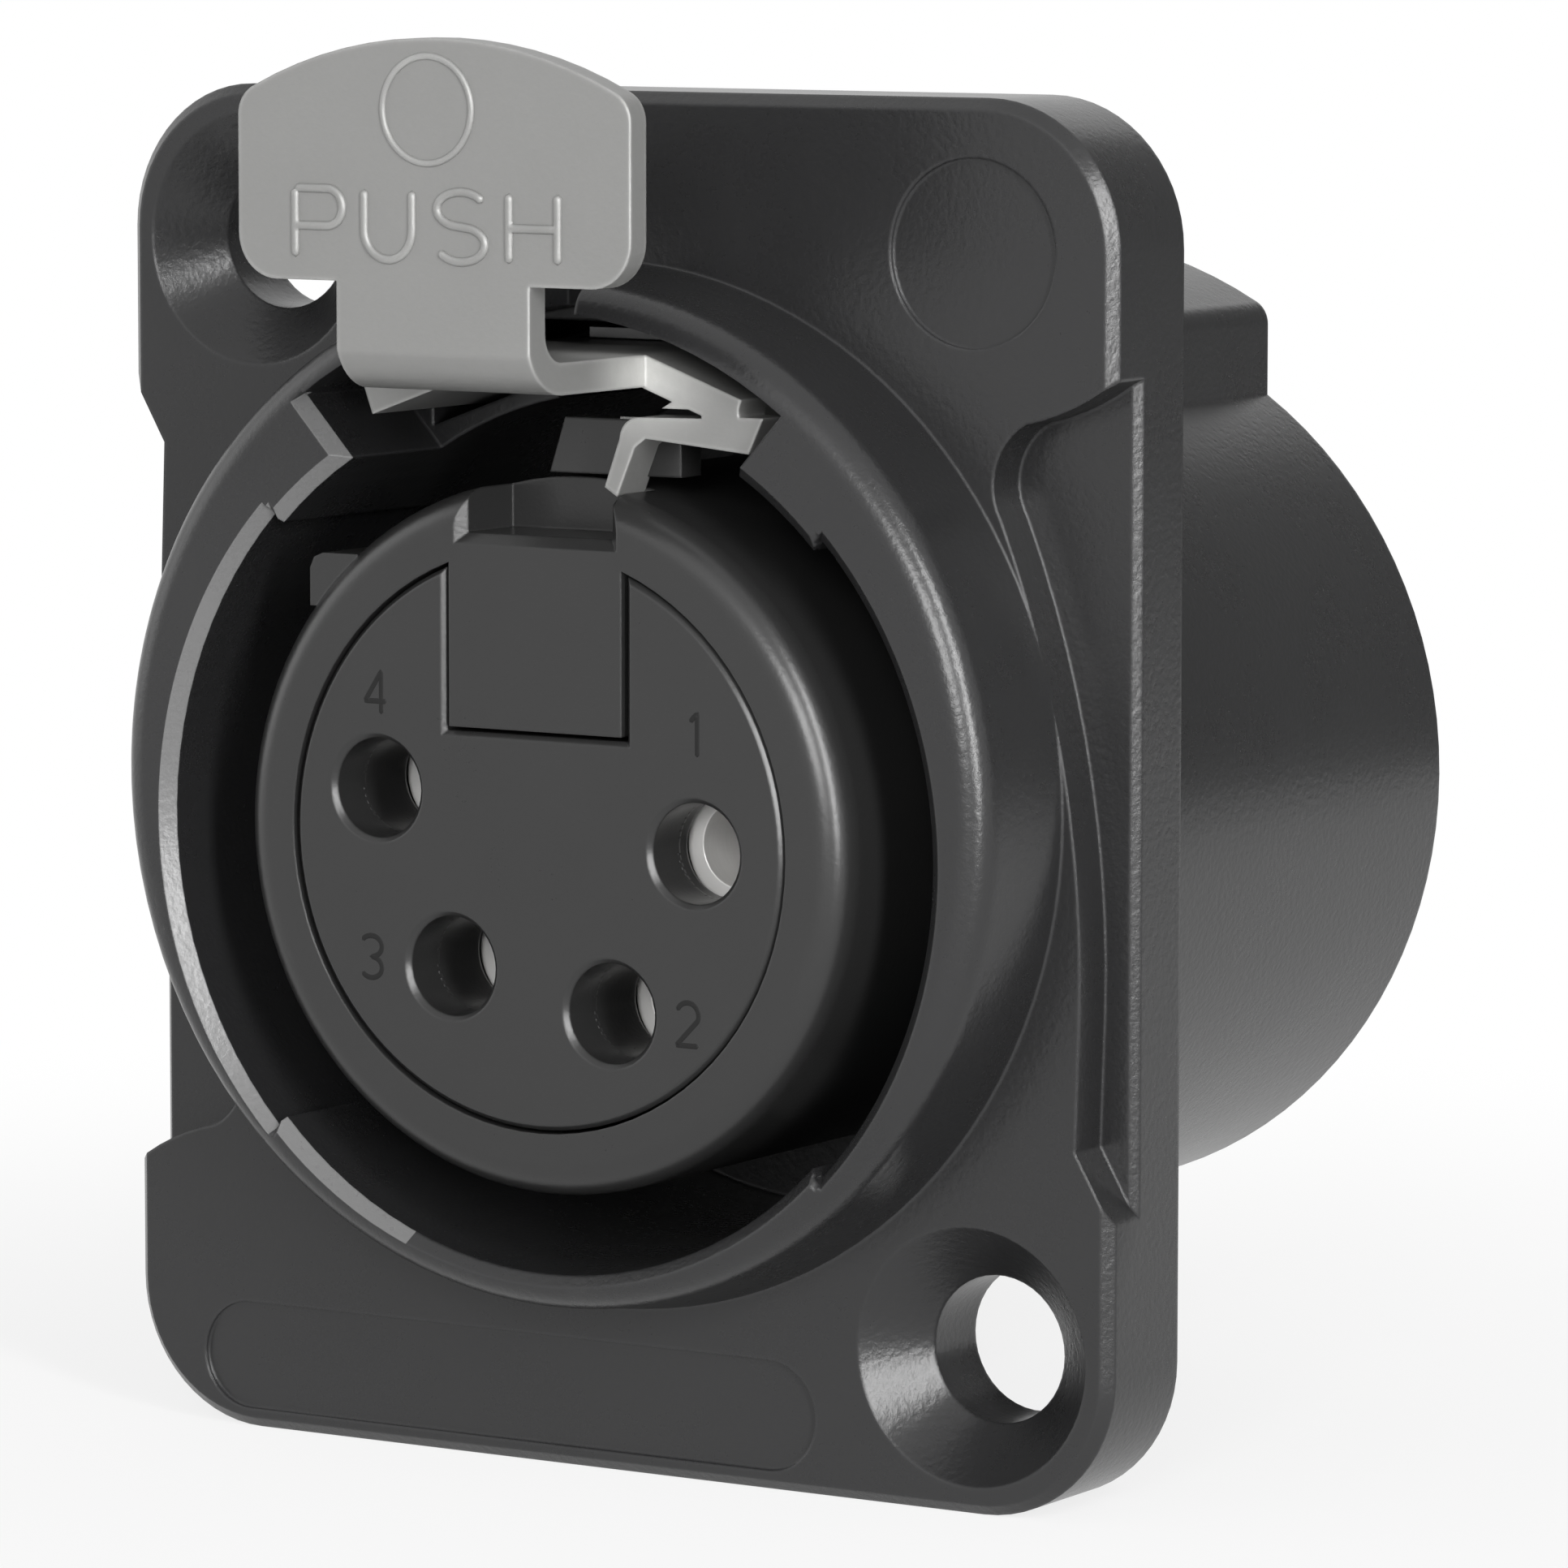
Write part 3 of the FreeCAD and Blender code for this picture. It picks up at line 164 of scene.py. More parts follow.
class SocketLettering(bpy.types.PropertyGroup):
    """Sizes of the raised word, the raised ring and the contact numbers."""

    word_height: length_property("Word height", "Height of the capitals on the tab", 1.5)
    word_stroke: length_property("Word stroke", "Width of the word's beads", 0.2)
    word_rise: length_property("Word rise", "How far the beads stand out", 0.08)
    word_foot: length_property("Word foot", "Foot of the word above the flange's centre", 12.02)
    ring_radius: length_property("Ring radius", "Radius of the bare ring above the word", 1.15)
    ring_height: length_property("Ring height", "Ring's centre above the flange's centre", 15.26)
    ring_aside: length_property("Ring aside", "Ring's centre right of the flange's centre", -0.12)
    ring_share: share_property("Ring share", "The ring's bead as a share of the word's bead", 0.8)
    number_height: length_property("Number height", "Height of the contact numbers", 0.95)
    number_stroke: length_property("Number stroke", "Width of the numbers' lines", 0.12)
    number_rise: length_property("Number rise", "How far the numbers stand out", 0.012)


class SocketStage(bpy.types.PropertyGroup):
    """Camera, lamps and floor."""

    azimuth: angle_property("Azimuth", "Camera's place round the socket", 31.874)
    elevation: angle_property("Elevation", "Camera's height", 6.436)
    roll: angle_property("Roll", "Camera's turn about its own line", 0.048)
    distance: length_property("Distance", "Camera to the point that it looks at", 185.571)
    target: bpy.props.FloatVectorProperty(
        name="Target", description="Point that the camera looks at", subtype="TRANSLATION",
        unit="LENGTH", size=3, default=(4.675 * MM, -3.0 * MM, 0.352 * MM), precision=5)
    lens: bpy.props.FloatProperty(
        name="Lens", description="Focal length for a 36 mm sensor", default=193.45,
        unit="CAMERA")
    world: strength_property("World", "Even light from all round", 0.25)
    strip: strength_property("Strip", "Tall narrow lamp at the right", 33.0)
    front: strength_property("Front", "Broad lamp before the socket", 0.6)
    near: strength_property(
        "Near", "Lamp beside the camera, which reaches into the pin entries", 17.0)
    left: strength_property("Left", "Soft lamp at the left", 1.0)
    card_color: color_property(
        "Card", "Grey card behind the socket's right side", (0.22, 0.22, 0.22))
    floor_color: color_property("Floor", "Pale floor", (0.86, 0.86, 0.86))
    floor_share: share_property(
        "Shadow", "Share of the floor's own shading in the picture", 0.2)


# ---------------------------------------------------------------- shader groups


def add_node(tree, kind, **inputs):
    """Add a node. A keyword sets the node's own setting of that name, or else the input, with _ for
    a space."""
    node = tree.nodes.new(kind)
    for key, value in inputs.items():
        label = key.replace("_", " ")
        if hasattr(node, key):
            setattr(node, key, value)
        else:
            node.inputs[label].default_value = value
    return node


def new_group(name, inputs, outputs):
    """Start a shader group with named sockets and return it with its two end nodes."""
    group = bpy.data.node_groups.new(name, "ShaderNodeTree")
    for label, kind, value in inputs:
        socket = group.interface.new_socket(
            name=label, in_out="INPUT", socket_type=f"NodeSocket{kind}")
        socket.default_value = value
    for label, kind in outputs:
        group.interface.new_socket(
            name=label, in_out="OUTPUT", socket_type=f"NodeSocket{kind}")
    return group, group.nodes.new("NodeGroupInput"), group.nodes.new("NodeGroupOutput")


def math_node(tree, operation, first, second=None, third=None):
    """Add a Math node whose inputs are sockets or numbers, and return its result."""
    node = tree.nodes.new("ShaderNodeMath")
    node.operation = operation
    for index, value in enumerate((first, second, third)):
        if value is None:
            continue
        if hasattr(value, "is_linked"):
            tree.links.new(value, node.inputs[index])
        else:
            node.inputs[index].default_value = value
    return node.outputs[0]


def noise_node(tree, coordinates, period, detail):
    """Noise with the given period, which is a socket or a number, and return its value."""
    noise = add_node(tree, "ShaderNodeTexNoise", Detail=detail, Roughness=0.55)
    tree.links.new(coordinates, noise.inputs["Vector"])
    tree.links.new(math_node(tree, "DIVIDE", 1.0, period), noise.inputs["Scale"])
    return noise.outputs["Fac"]


def grain_group(fine_share=0.4):
    """Fine grain over broad, faint patches, mixed by the fine grain's share: the colour times
    1 + spread (noise - 0.5), the roughness plus its own spread, and the grain's height."""
    group, inlet, outlet = new_group(
        "fine_grain",
        [("Color", "Color", (0.5, 0.5, 0.5, 1)), ("Tone Spread", "Float", 0.1),
         ("Roughness", "Float", 0.4), ("Roughness Spread", "Float", 0.1),
         ("Grain", "Float", 0.2 * MM), ("Patch", "Float", 4 * MM),
         ("Stretch", "Vector", (1, 1, 1))],
        [("Color", "Color"), ("Roughness", "Float"), ("Height", "Float")])
    place = group.nodes.new("ShaderNodeTexCoord").outputs["Object"]
    mapping = group.nodes.new("ShaderNodeMapping")
    group.links.new(place, mapping.inputs["Vector"])
    group.links.new(inlet.outputs["Stretch"], mapping.inputs["Scale"])
    fine = noise_node(group, mapping.outputs["Vector"], inlet.outputs["Grain"], detail=3.0)
    broad = noise_node(group, place, inlet.outputs["Patch"], detail=3.0)
    both = math_node(group, "ADD", math_node(group, "MULTIPLY", fine, fine_share),
                     math_node(group, "MULTIPLY", broad, 1 - fine_share))
    centred = math_node(group, "SUBTRACT", both, 0.5)
    tone = math_node(group, "MULTIPLY_ADD", centred, inlet.outputs["Tone Spread"], 1.0)
    scaled = add_node(group, "ShaderNodeVectorMath", operation="SCALE")
    group.links.new(inlet.outputs["Color"], scaled.inputs[0])
    group.links.new(tone, scaled.inputs["Scale"])
    rough = math_node(group, "MULTIPLY_ADD", centred, inlet.outputs["Roughness Spread"],
                      inlet.outputs["Roughness"])
    group.links.new(scaled.outputs["Vector"], outlet.inputs["Color"])
    group.links.new(rough, outlet.inputs["Roughness"])
    group.links.new(fine, outlet.inputs["Height"])
    return group


def edge_highlight_group(widening=4.0):
    """Painted highlight along edges: one less the dot product of the rounded and the plain normal,
    times the widening, a noise and the amount."""
    group, inlet, outlet = new_group(
        "rubbed_edges",
        [("Reach", "Float", 0.2 * MM), ("Amount", "Float", 0.5), ("Patch", "Float", 1.5 * MM)],
        [("Mask", "Float")])
    place = group.nodes.new("ShaderNodeTexCoord").outputs["Object"]
    bevel = add_node(group, "ShaderNodeBevel", samples=4)
    group.links.new(inlet.outputs["Reach"], bevel.inputs["Radius"])
    geometry = group.nodes.new("ShaderNodeNewGeometry")
    dot = add_node(group, "ShaderNodeVectorMath", operation="DOT_PRODUCT")
    group.links.new(bevel.outputs["Normal"], dot.inputs[0])
    group.links.new(geometry.outputs["Normal"], dot.inputs[1])
    bend = math_node(group, "SUBTRACT", 1.0, dot.outputs["Value"])
    noise = noise_node(group, place, inlet.outputs["Patch"], detail=4.0)
    wide = math_node(group, "MULTIPLY", math_node(group, "MULTIPLY", bend, widening), noise)
    mask = math_node(group, "MULTIPLY", wide, inlet.outputs["Amount"])
    clamp = group.nodes.new("ShaderNodeClamp")
    group.links.new(mask, clamp.inputs["Value"])
    group.links.new(clamp.outputs["Result"], outlet.inputs["Mask"])
    return group


def spot_group():
    """A soft round spot of painted highlight: 1 at its centre, falling as a smooth step to 0 at its
    reach, times a noise that goes from 0.75 to 1.25."""
    group, inlet, outlet = new_group(
        "rubbed_spot",
        [("Centre", "Vector", (0, 0, 0)), ("Reach", "Float", 3 * MM), ("Patch", "Float", 0.4 * MM)],
        [("Mask", "Float")])
    place = group.nodes.new("ShaderNodeTexCoord").outputs["Object"]
    away = add_node(group, "ShaderNodeVectorMath", operation="DISTANCE")
    group.links.new(place, away.inputs[0])
    group.links.new(inlet.outputs["Centre"], away.inputs[1])
    fall = add_node(group, "ShaderNodeMapRange", interpolation_type="SMOOTHSTEP",
                    To_Min=1.0, To_Max=0.0)
    group.links.new(away.outputs["Value"], fall.inputs["Value"])
    group.links.new(inlet.outputs["Reach"], fall.inputs["From Max"])
    noise = noise_node(group, place, inlet.outputs["Patch"], detail=3.0)
    painted_highlight = math_node(group, "MULTIPLY", fall.outputs["Result"],
                     math_node(group, "MULTIPLY_ADD", noise, 0.5, 0.75))
    group.links.new(painted_highlight, outlet.inputs["Mask"])
    return group


def use_group(tree, group_name, **inputs):
    """Add a shared shader group; a keyword sets the input of that name, with _ for a space."""
    node = tree.nodes.new("ShaderNodeGroup")
    node.node_tree = bpy.data.node_groups[group_name]
    for key, value in inputs.items():
        node.inputs[key.replace("_", " ")].default_value = value
    return node


def mix_color(tree, mask, plain, color):
    """Lead the base colour from a socket to the given colour where the mask is 1."""
    mix = add_node(tree, "ShaderNodeMix", data_type="RGBA")
    mix.inputs["B"].default_value = (*color, 1)
    tree.links.new(mask, mix.inputs["Factor"])
    tree.links.new(plain, mix.inputs["A"])
    tree.links.new(mix.outputs["Result"], tree.nodes["Principled BSDF"].inputs["Base Color"])


def finish(name, color, roughness, grain, edge_round, metallic=0.0, gloss=0.5, tone_spread=0.2,
           rise=0.1, patch=3 * MM, stretch=(1, 1, 1), highlighted=0.0, edge_highlight_color=None):
    """A material: grained colour and roughness, painted edge highlights, and a grain bump over
    softened edges.
    The grain's spacing, the patches and the edges' round are lengths; the rise is a share of the
    grain's spacing."""
    material = bpy.data.materials.new(name)
    material.use_nodes = True
    tree = material.node_tree
    shader = tree.nodes["Principled BSDF"]
    shader.inputs["Metallic"].default_value = metallic
    shader.inputs["Specular IOR Level"].default_value = gloss
    grained = use_group(tree, "fine_grain", Color=(*color, 1), Tone_Spread=tone_spread,
                        Roughness=roughness, Grain=grain, Patch=patch, Stretch=stretch)
    edge = add_node(tree, "ShaderNodeBevel", samples=6, Radius=edge_round)
    bump = add_node(tree, "ShaderNodeBump", Distance=rise * grain, Strength=0.6)
    tree.links.new(grained.outputs["Height"], bump.inputs["Height"])
    tree.links.new(edge.outputs["Normal"], bump.inputs["Normal"])
    tree.links.new(bump.outputs["Normal"], shader.inputs["Normal"])
    tree.links.new(grained.outputs["Roughness"], shader.inputs["Roughness"])
    if highlighted:
        paint_highlight = use_group(tree, "rubbed_edges", Amount=highlighted)
        mix_color(tree, paint_highlight.outputs["Mask"], grained.outputs["Color"], edge_highlight_color)
    else:
        tree.links.new(grained.outputs["Color"], shader.inputs["Base Color"])
    return material


# ---------------------------------------------------------------- pieces


def linked(name, data):
    """A new object of the scene, at the origin."""
    made = bpy.data.objects.new(name, data)
    bpy.context.scene.collection.objects.link(made)
    return made


def solid(name, points, faces):
    """A closed object out of points in millimetres and faces, with its faces turned outwards."""
    mesh = bpy.data.meshes.new(name)
    mesh.from_pydata((np.asarray(points, float) * MM).tolist(), [], faces)
    work = bmesh.new()
    work.from_mesh(mesh)
    bmesh.ops.recalc_face_normals(work, faces=work.faces)
    work.to_mesh(mesh)
    work.free()
    return linked(name, mesh)


def prism(name, outline, front, rear):
    """A solid with the given outline (across, up) from front to rear."""
    outline = np.asarray(outline, float)
    rows = [np.stack([outline[:, 0], np.full(len(outline), place), outline[:, 1]], 1)
            for place in (front, rear)]
    return solid(name, np.concatenate(rows), skin(2, len(outline), False))


def wedge(name, path, outward, size, front, closed=False):
    """Cutting tool for a bevel on an edge in the plane y = front. A right triangle, whose long side
    crosses that plane at the size beyond the edge, is carried along the path: its point (a, b)
    lies at path + a * outward, and at front + b."""
    profile = np.array([(-PAST, -PAST), (size + PAST, -PAST), (-PAST, size + PAST)])
    flat = np.asarray(path)[:, None] + np.asarray(outward)[:, None] * profile[None, :, :1]
    depth = np.broadcast_to(front + profile[:, 1], flat.shape[:2])
    points = np.stack([flat[..., 0], depth, flat[..., 1]], 2).reshape(-1, 3)
    return solid(name, points, skin(len(flat), len(profile), closed))


def round_wedge(name, radius, size, front, start=0, end=360, inward=False, count=120):
    """Bevelling tool along a circle about the socket's axis, or a part of it; angles are counted
    from the right, in degrees."""
    whole = end - start >= 360
    turn = np.radians(np.linspace(start, end, count + 1))
    if whole:
        turn = turn[:-1]
    ray = np.stack([np.cos(turn), np.sin(turn)], 1)
    path = radius * ray + np.array([0, AXIS_HEIGHT])
    return wedge(name, path, -ray if inward else ray, size, front, whole)


def copy_of(node_name, name):
    """A closed copy of a CAD node's surface, which stands for the node."""
    work = bmesh.new()
    work.from_mesh(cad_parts[node_name].data)
    bmesh.ops.remove_doubles(work, verts=work.verts, dist=WELD_DISTANCE)
    mesh = bpy.data.meshes.new(name)
    work.to_mesh(mesh)
    work.free()
    return linked(name, mesh)


def carve(piece, tools, operation="DIFFERENCE"):
    """Cut each tool out of a piece, or unite them with it, and drop the tools."""
    for tool in tools:
        cut = piece.modifiers.new("cut", "BOOLEAN")
        cut.operation = operation
        cut.solver = "EXACT"
        cut.object = tool
        scene_now = bpy.context.evaluated_depsgraph_get()
        made = bpy.data.meshes.new_from_object(piece.evaluated_get(scene_now))
        piece.modifiers.remove(cut)
        before = piece.data
        piece.data = made
        bpy.data.meshes.remove(before)
        bpy.data.objects.remove(tool)
    return piece


def stand_for(piece, node_name, body, material):
    """Give a made piece its body, finish and smooth shading, and let it stand for its CAD
    node, if it has one."""
    piece.data.materials.clear()
    piece.data.materials.append(material)
    soften(piece)
    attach(piece, body)
    if node_name:
        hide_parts(node_name)


def dress(node_name, material):
    """Give a CAD node its finish and smooth shading."""
    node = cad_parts[node_name]
    node.data.materials.clear()
    node.data.materials.append(material)
    soften(node)


def soften(node):
    """Shade the welded faces of an object smooth up to the sharp angle."""
    node.data.polygons.foreach_set("use_smooth", np.ones(len(node.data.polygons), bool))
    weld = node.modifiers.new("weld", "WELD")
    weld.merge_threshold = WELD_DISTANCE
    split = node.modifiers.new("sharp edges", "EDGE_SPLIT")
    split.split_angle = SHARP_ANGLE
    split.use_edge_sharp = False
    level = node.modifiers.new("flat faces stay flat", "WEIGHTED_NORMAL")
    level.weight = 100


def line(*points):
    """Straight runs through the given points, as an array of points."""
    return np.array(points, float)


def arc(centre, radii, start, end, count=16):
    """Part of an ellipse: centre + radii (cos t, sin t), with t from start to end in degrees."""
    t = np.radians(np.linspace(start, end, count))
    return np.array(centre) + np.array(radii) * np.stack([np.cos(t), np.sin(t)], 1)


def resample(path, step):
    """The same path with points at even distances, no further apart than the step, and their
    places along it."""
    length = np.r_[0, np.cumsum(np.linalg.norm(np.diff(path, axis=0), axis=1))]
    places = np.linspace(0, length[-1], max(int(math.ceil(length[-1] / step)), 4) + 1)
    return np.stack([np.interp(places, length, path[:, k]) for k in range(2)], 1), places


def skin(rows, ring, closed):
    """Faces between the rows of a closed profile that is carried along a path; an open path gets
    ends."""
    row = np.arange(rows if closed else rows - 1)[:, None]
    column = np.arange(ring)[None, :]
    after, beside = (row + 1) % rows, (column + 1) % ring
    faces = np.stack([row * ring + column, row * ring + beside, after * ring + beside,
                      after * ring + column], 2).reshape(-1, 4).tolist()
    if not closed:
        faces.append(list(range(ring))[::-1])
        faces.append([(rows - 1) * ring + k for k in range(ring)])
    return faces


# Width that a bead keeps at its very end, as a share of its own
BEAD_END = math.sqrt(0.02)


def bead(path, width, rise, sunk, closed=False, count=9):
    """A low bead along a flat path. Across it the height is rise * cos(a) at the offset
    width / 2 * sin(a), for a from -90 to 90 degrees, and the underside is sunk into the face.
    Towards an open end the bead narrows as a half circle does.
    Returns points (across, up, out) and faces."""
    line_points, places = resample(path, width / 3)
    if closed:
        line_points = line_points[:-1]
        places = places[:-1]
        step = np.roll(line_points, -1, 0) - np.roll(line_points, 1, 0)
        slim = np.ones(len(places))
    else:
        step = np.gradient(line_points, axis=0)
        radius = width / 2
        near_end = np.minimum(places, places[-1] - places).clip(0, radius)
        slim = np.sqrt(np.clip(1 - ((radius - near_end) / radius) ** 2, BEAD_END ** 2, 1))
    step /= np.linalg.norm(step, axis=1, keepdims=True)
    normal = np.stack([-step[:, 1], step[:, 0]], 1)
    turn = np.linspace(-math.pi / 2, math.pi / 2, count)
    offset = np.r_[width / 2 * np.sin(turn), width / 2, -width / 2]
    out = np.r_[rise * np.cos(turn), -sunk, -sunk]
    flat = line_points[:, None] + normal[:, None] * (offset[None, :, None] * slim[:, None, None])
    height = out[None, :] * np.where(out > 0, slim[:, None], 1.0)
    points = np.concatenate([flat, height[..., None]], 2).reshape(-1, 3)
    return points, skin(len(line_points), len(offset), closed)


def bead_piece(name, strokes, width, rise, face_y, material, body, sunk=0.02 * MM):
    """One piece out of several beads on a face that looks to the front, at that place along Y.
    A stroke is a path, or (path, True) where it closes on itself."""
    points, faces, first = [], [], 0
    for stroke in strokes:
        path, closed = stroke if isinstance(stroke, tuple) else (stroke, False)
        made, quads = bead(path, width, rise, sunk, closed)
        points.append(np.stack([made[:, 0], face_y - made[:, 2], made[:, 1]], 1))
        faces += [[index + first for index in quad] for quad in quads]
        first += len(made)
    mesh = bpy.data.meshes.new(name)
    mesh.from_pydata(np.concatenate(points).tolist(), [], faces)
    mesh.materials.append(material)
    mesh.polygons.foreach_set("use_smooth", np.ones(len(mesh.polygons), bool))
    mesh.update()
    piece = linked(name, mesh)
    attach(piece, body)
    return piece


# The word's letters as shares of their height: where each begins, right of the tab's middle, the
# width of a letter and the radius of the bowl of the P
LETTER_STARTS = (-2.38, -1.17, 0.09, 1.33)
LETTER_WIDTH = 0.83
BOWL_RADIUS = 0.27
# A number's half width and the half height of a 3's bows, as shares of its height
NUMBER_HALF = 0.3
BOW_HALF = 0.25


def word_strokes(height, foot):
    """The word PUSH as strokes on the tab."""
    top, middle = foot + height, foot + 0.5 * height
    p_left, u_left, s_left, h_left = (share * height for share in LETTER_STARTS)
    wide, bowl = LETTER_WIDTH * height, BOWL_RADIUS * height
    p_bowl = np.concatenate([
        line((p_left, top), (p_left + wide - bowl, top)),
        arc((p_left + wide - bowl, top - bowl), (bowl, bowl), 90, -90),
        line((p_left + wide - bowl, top - 2 * bowl), (p_left, top - 2 * bowl))])
    half = wide / 2
    u_bend = np.concatenate([
        line((u_left, top)),
        arc((u_left + half, foot + half), (half, half), 180, 360),
        line((u_left + wide, top))])
    bow = height / 4
    upper, lower = (s_left + half, top - bow), (s_left + half, foot + bow)
    s_curve = np.concatenate([
        arc(upper, (half, bow), 25, 180), arc(upper, (half, bow), 180, 245, 6),
        arc(lower, (half, bow), 65, 0, 6), arc(lower, (half, bow), 0, -155)])
    return [
        line((p_left, foot), (p_left, top)), p_bowl, u_bend, s_curve,
        line((h_left, foot), (h_left, top)), line((h_left + wide, foot), (h_left + wide, top)),
        line((h_left, middle), (h_left + wide, middle))]


def number_strokes(height):
    """The numbers 1 to 4 as strokes about their own middles."""
    half, wide, bow = height / 2, NUMBER_HALF * height, BOW_HALF * height
    fifth = 0.2 * height
    return {
        1: [line((-fifth, half - fifth), (0, half), (0, -half))],
        2: [np.concatenate([
            arc((0, half - wide), (wide, wide), 160, -20), line((-wide, -half), (wide, -half))])],
        3: [np.concatenate([
            arc((0, half - bow), (wide, bow), 150, -90),
            arc((0, bow - half), (wide, bow), 90, -150)])],
        4: [line((wide / 2, -half), (wide / 2, half), (-wide, -fifth), (wide, -fifth))],
    }


# ---------------------------------------------------------------- operators


class SOCKET_OT_shader_groups(bpy.types.Operator):
    """Build the shader groups that the finishes share"""

    bl_idname = "socket.shader_groups"
    bl_label = "Shader groups"

    def execute(self, context):
        grain_group()
        edge_highlight_group()
        spot_group()
        return {"FINISHED"}


class SOCKET_OT_casting(bpy.types.Operator):
    """Bevel the mouth of the shell's cavity and latch pocket, and coat the casting, with
    painted highlights on its edges and on the mouth's left bevels
    """

    bl_idname = "socket.casting"
    bl_label = "Casting"

    # Radius of the cavity, and of its two wider sides up to this angle from the level
    BORE = 9.7
    SIDE_BORE = 10.0
    SIDE_HALF_ANGLE = 44.3
    # Slanted left end of the latch pocket: half widths and heights of its two corners
    POCKET_TOP = (6.33, 8.69)
    POCKET_FOOT = (5.25, 7.5)
    # How far the bevel of the pocket's end runs on past its foot and its top
    FOOT_RUN = 0.3
    TOP_RUN = 0.05
    # A bevel face gets the painted highlight where its normal reaches this far to the right
    HIGHLIGHT_TURN = 0.25
    # Painted highlight along all the coat's edges: its amount and colour
    EDGE_HIGHLIGHT_AMOUNT = 0.12
    EDGE_HIGHLIGHT_COLOR = (0.09, 0.09, 0.095)

    def execute(self, context):
        wanted = context.scene.socket_finishes
        bevel = wanted.mouth_bevel / MM
        coat = finish("black_coat", wanted.casting_color, wanted.casting_roughness,
                      wanted.casting_grain, gloss=wanted.gloss, edge_round=wanted.edge_round,
                      highlighted=self.EDGE_HIGHLIGHT_AMOUNT, edge_highlight_color=self.EDGE_HIGHLIGHT_COLOR)
        half = self.SIDE_HALF_ANGLE
        tools = [self.pocket_end(bevel),
                 round_wedge("mouth", self.BORE, bevel, RING_FRONT),
                 round_wedge("right_mouth", self.SIDE_BORE, bevel, RING_FRONT, -half, half),
                 round_wedge("left_mouth", self.SIDE_BORE, bevel, RING_FRONT,
                             180 - half, 180 + half)]
        shell = carve(copy_of("shell", "shell_casting"), tools)
        stand_for(shell, "shell", "housing", coat)
        # Painted highlight coat: a lighter coat on the mouth's left bevels, in place of the lamp's
        # highlight
        painted_highlight = finish("worn_coat", wanted.mouth_highlight_color, wanted.casting_roughness,
                      wanted.casting_grain, gloss=wanted.gloss, edge_round=0.5 * wanted.edge_round)
        shell.data.materials.append(painted_highlight)
        self.paint_highlight(shell.data, bevel)
        return {"FINISHED"}

    def pocket_end(self, bevel):
        """Bevelling tool along the slanted left end of the latch pocket."""
        top, foot = np.array(self.POCKET_TOP), np.array(self.POCKET_FOOT)
        slope = (top - foot) / np.linalg.norm(top - foot)
        mirror = np.array([-1, 1])
        aside = np.array([slope[1], -slope[0]]) * mirror
        ends = [(foot - self.FOOT_RUN * slope) * mirror, (top + self.TOP_RUN * slope) * mirror]
        return wedge("pocket_end", ends, [aside, aside], bevel, RING_FRONT)

    def paint_highlight(self, mesh, bevel):
        """Give the painted highlight coat to the bevel's faces on the mouth's left edges."""
        normals, centres = np.empty((2, len(mesh.polygons) * 3))
        mesh.polygons.foreach_get("normal", normals)
        mesh.polygons.foreach_get("center", centres)
        right, front = normals[0::3], -normals[1::3]
        depth = centres[1::3] / MM - RING_FRONT
        on_bevel = (np.abs(front - math.sqrt(0.5)) < 0.02) & (0 < depth) & (depth < bevel)
        painted_highlight = on_bevel & (centres[0::3] < 0) & (right > self.HIGHLIGHT_TURN)
        mesh.polygons.foreach_set("material_index", painted_highlight.astype(np.int32))


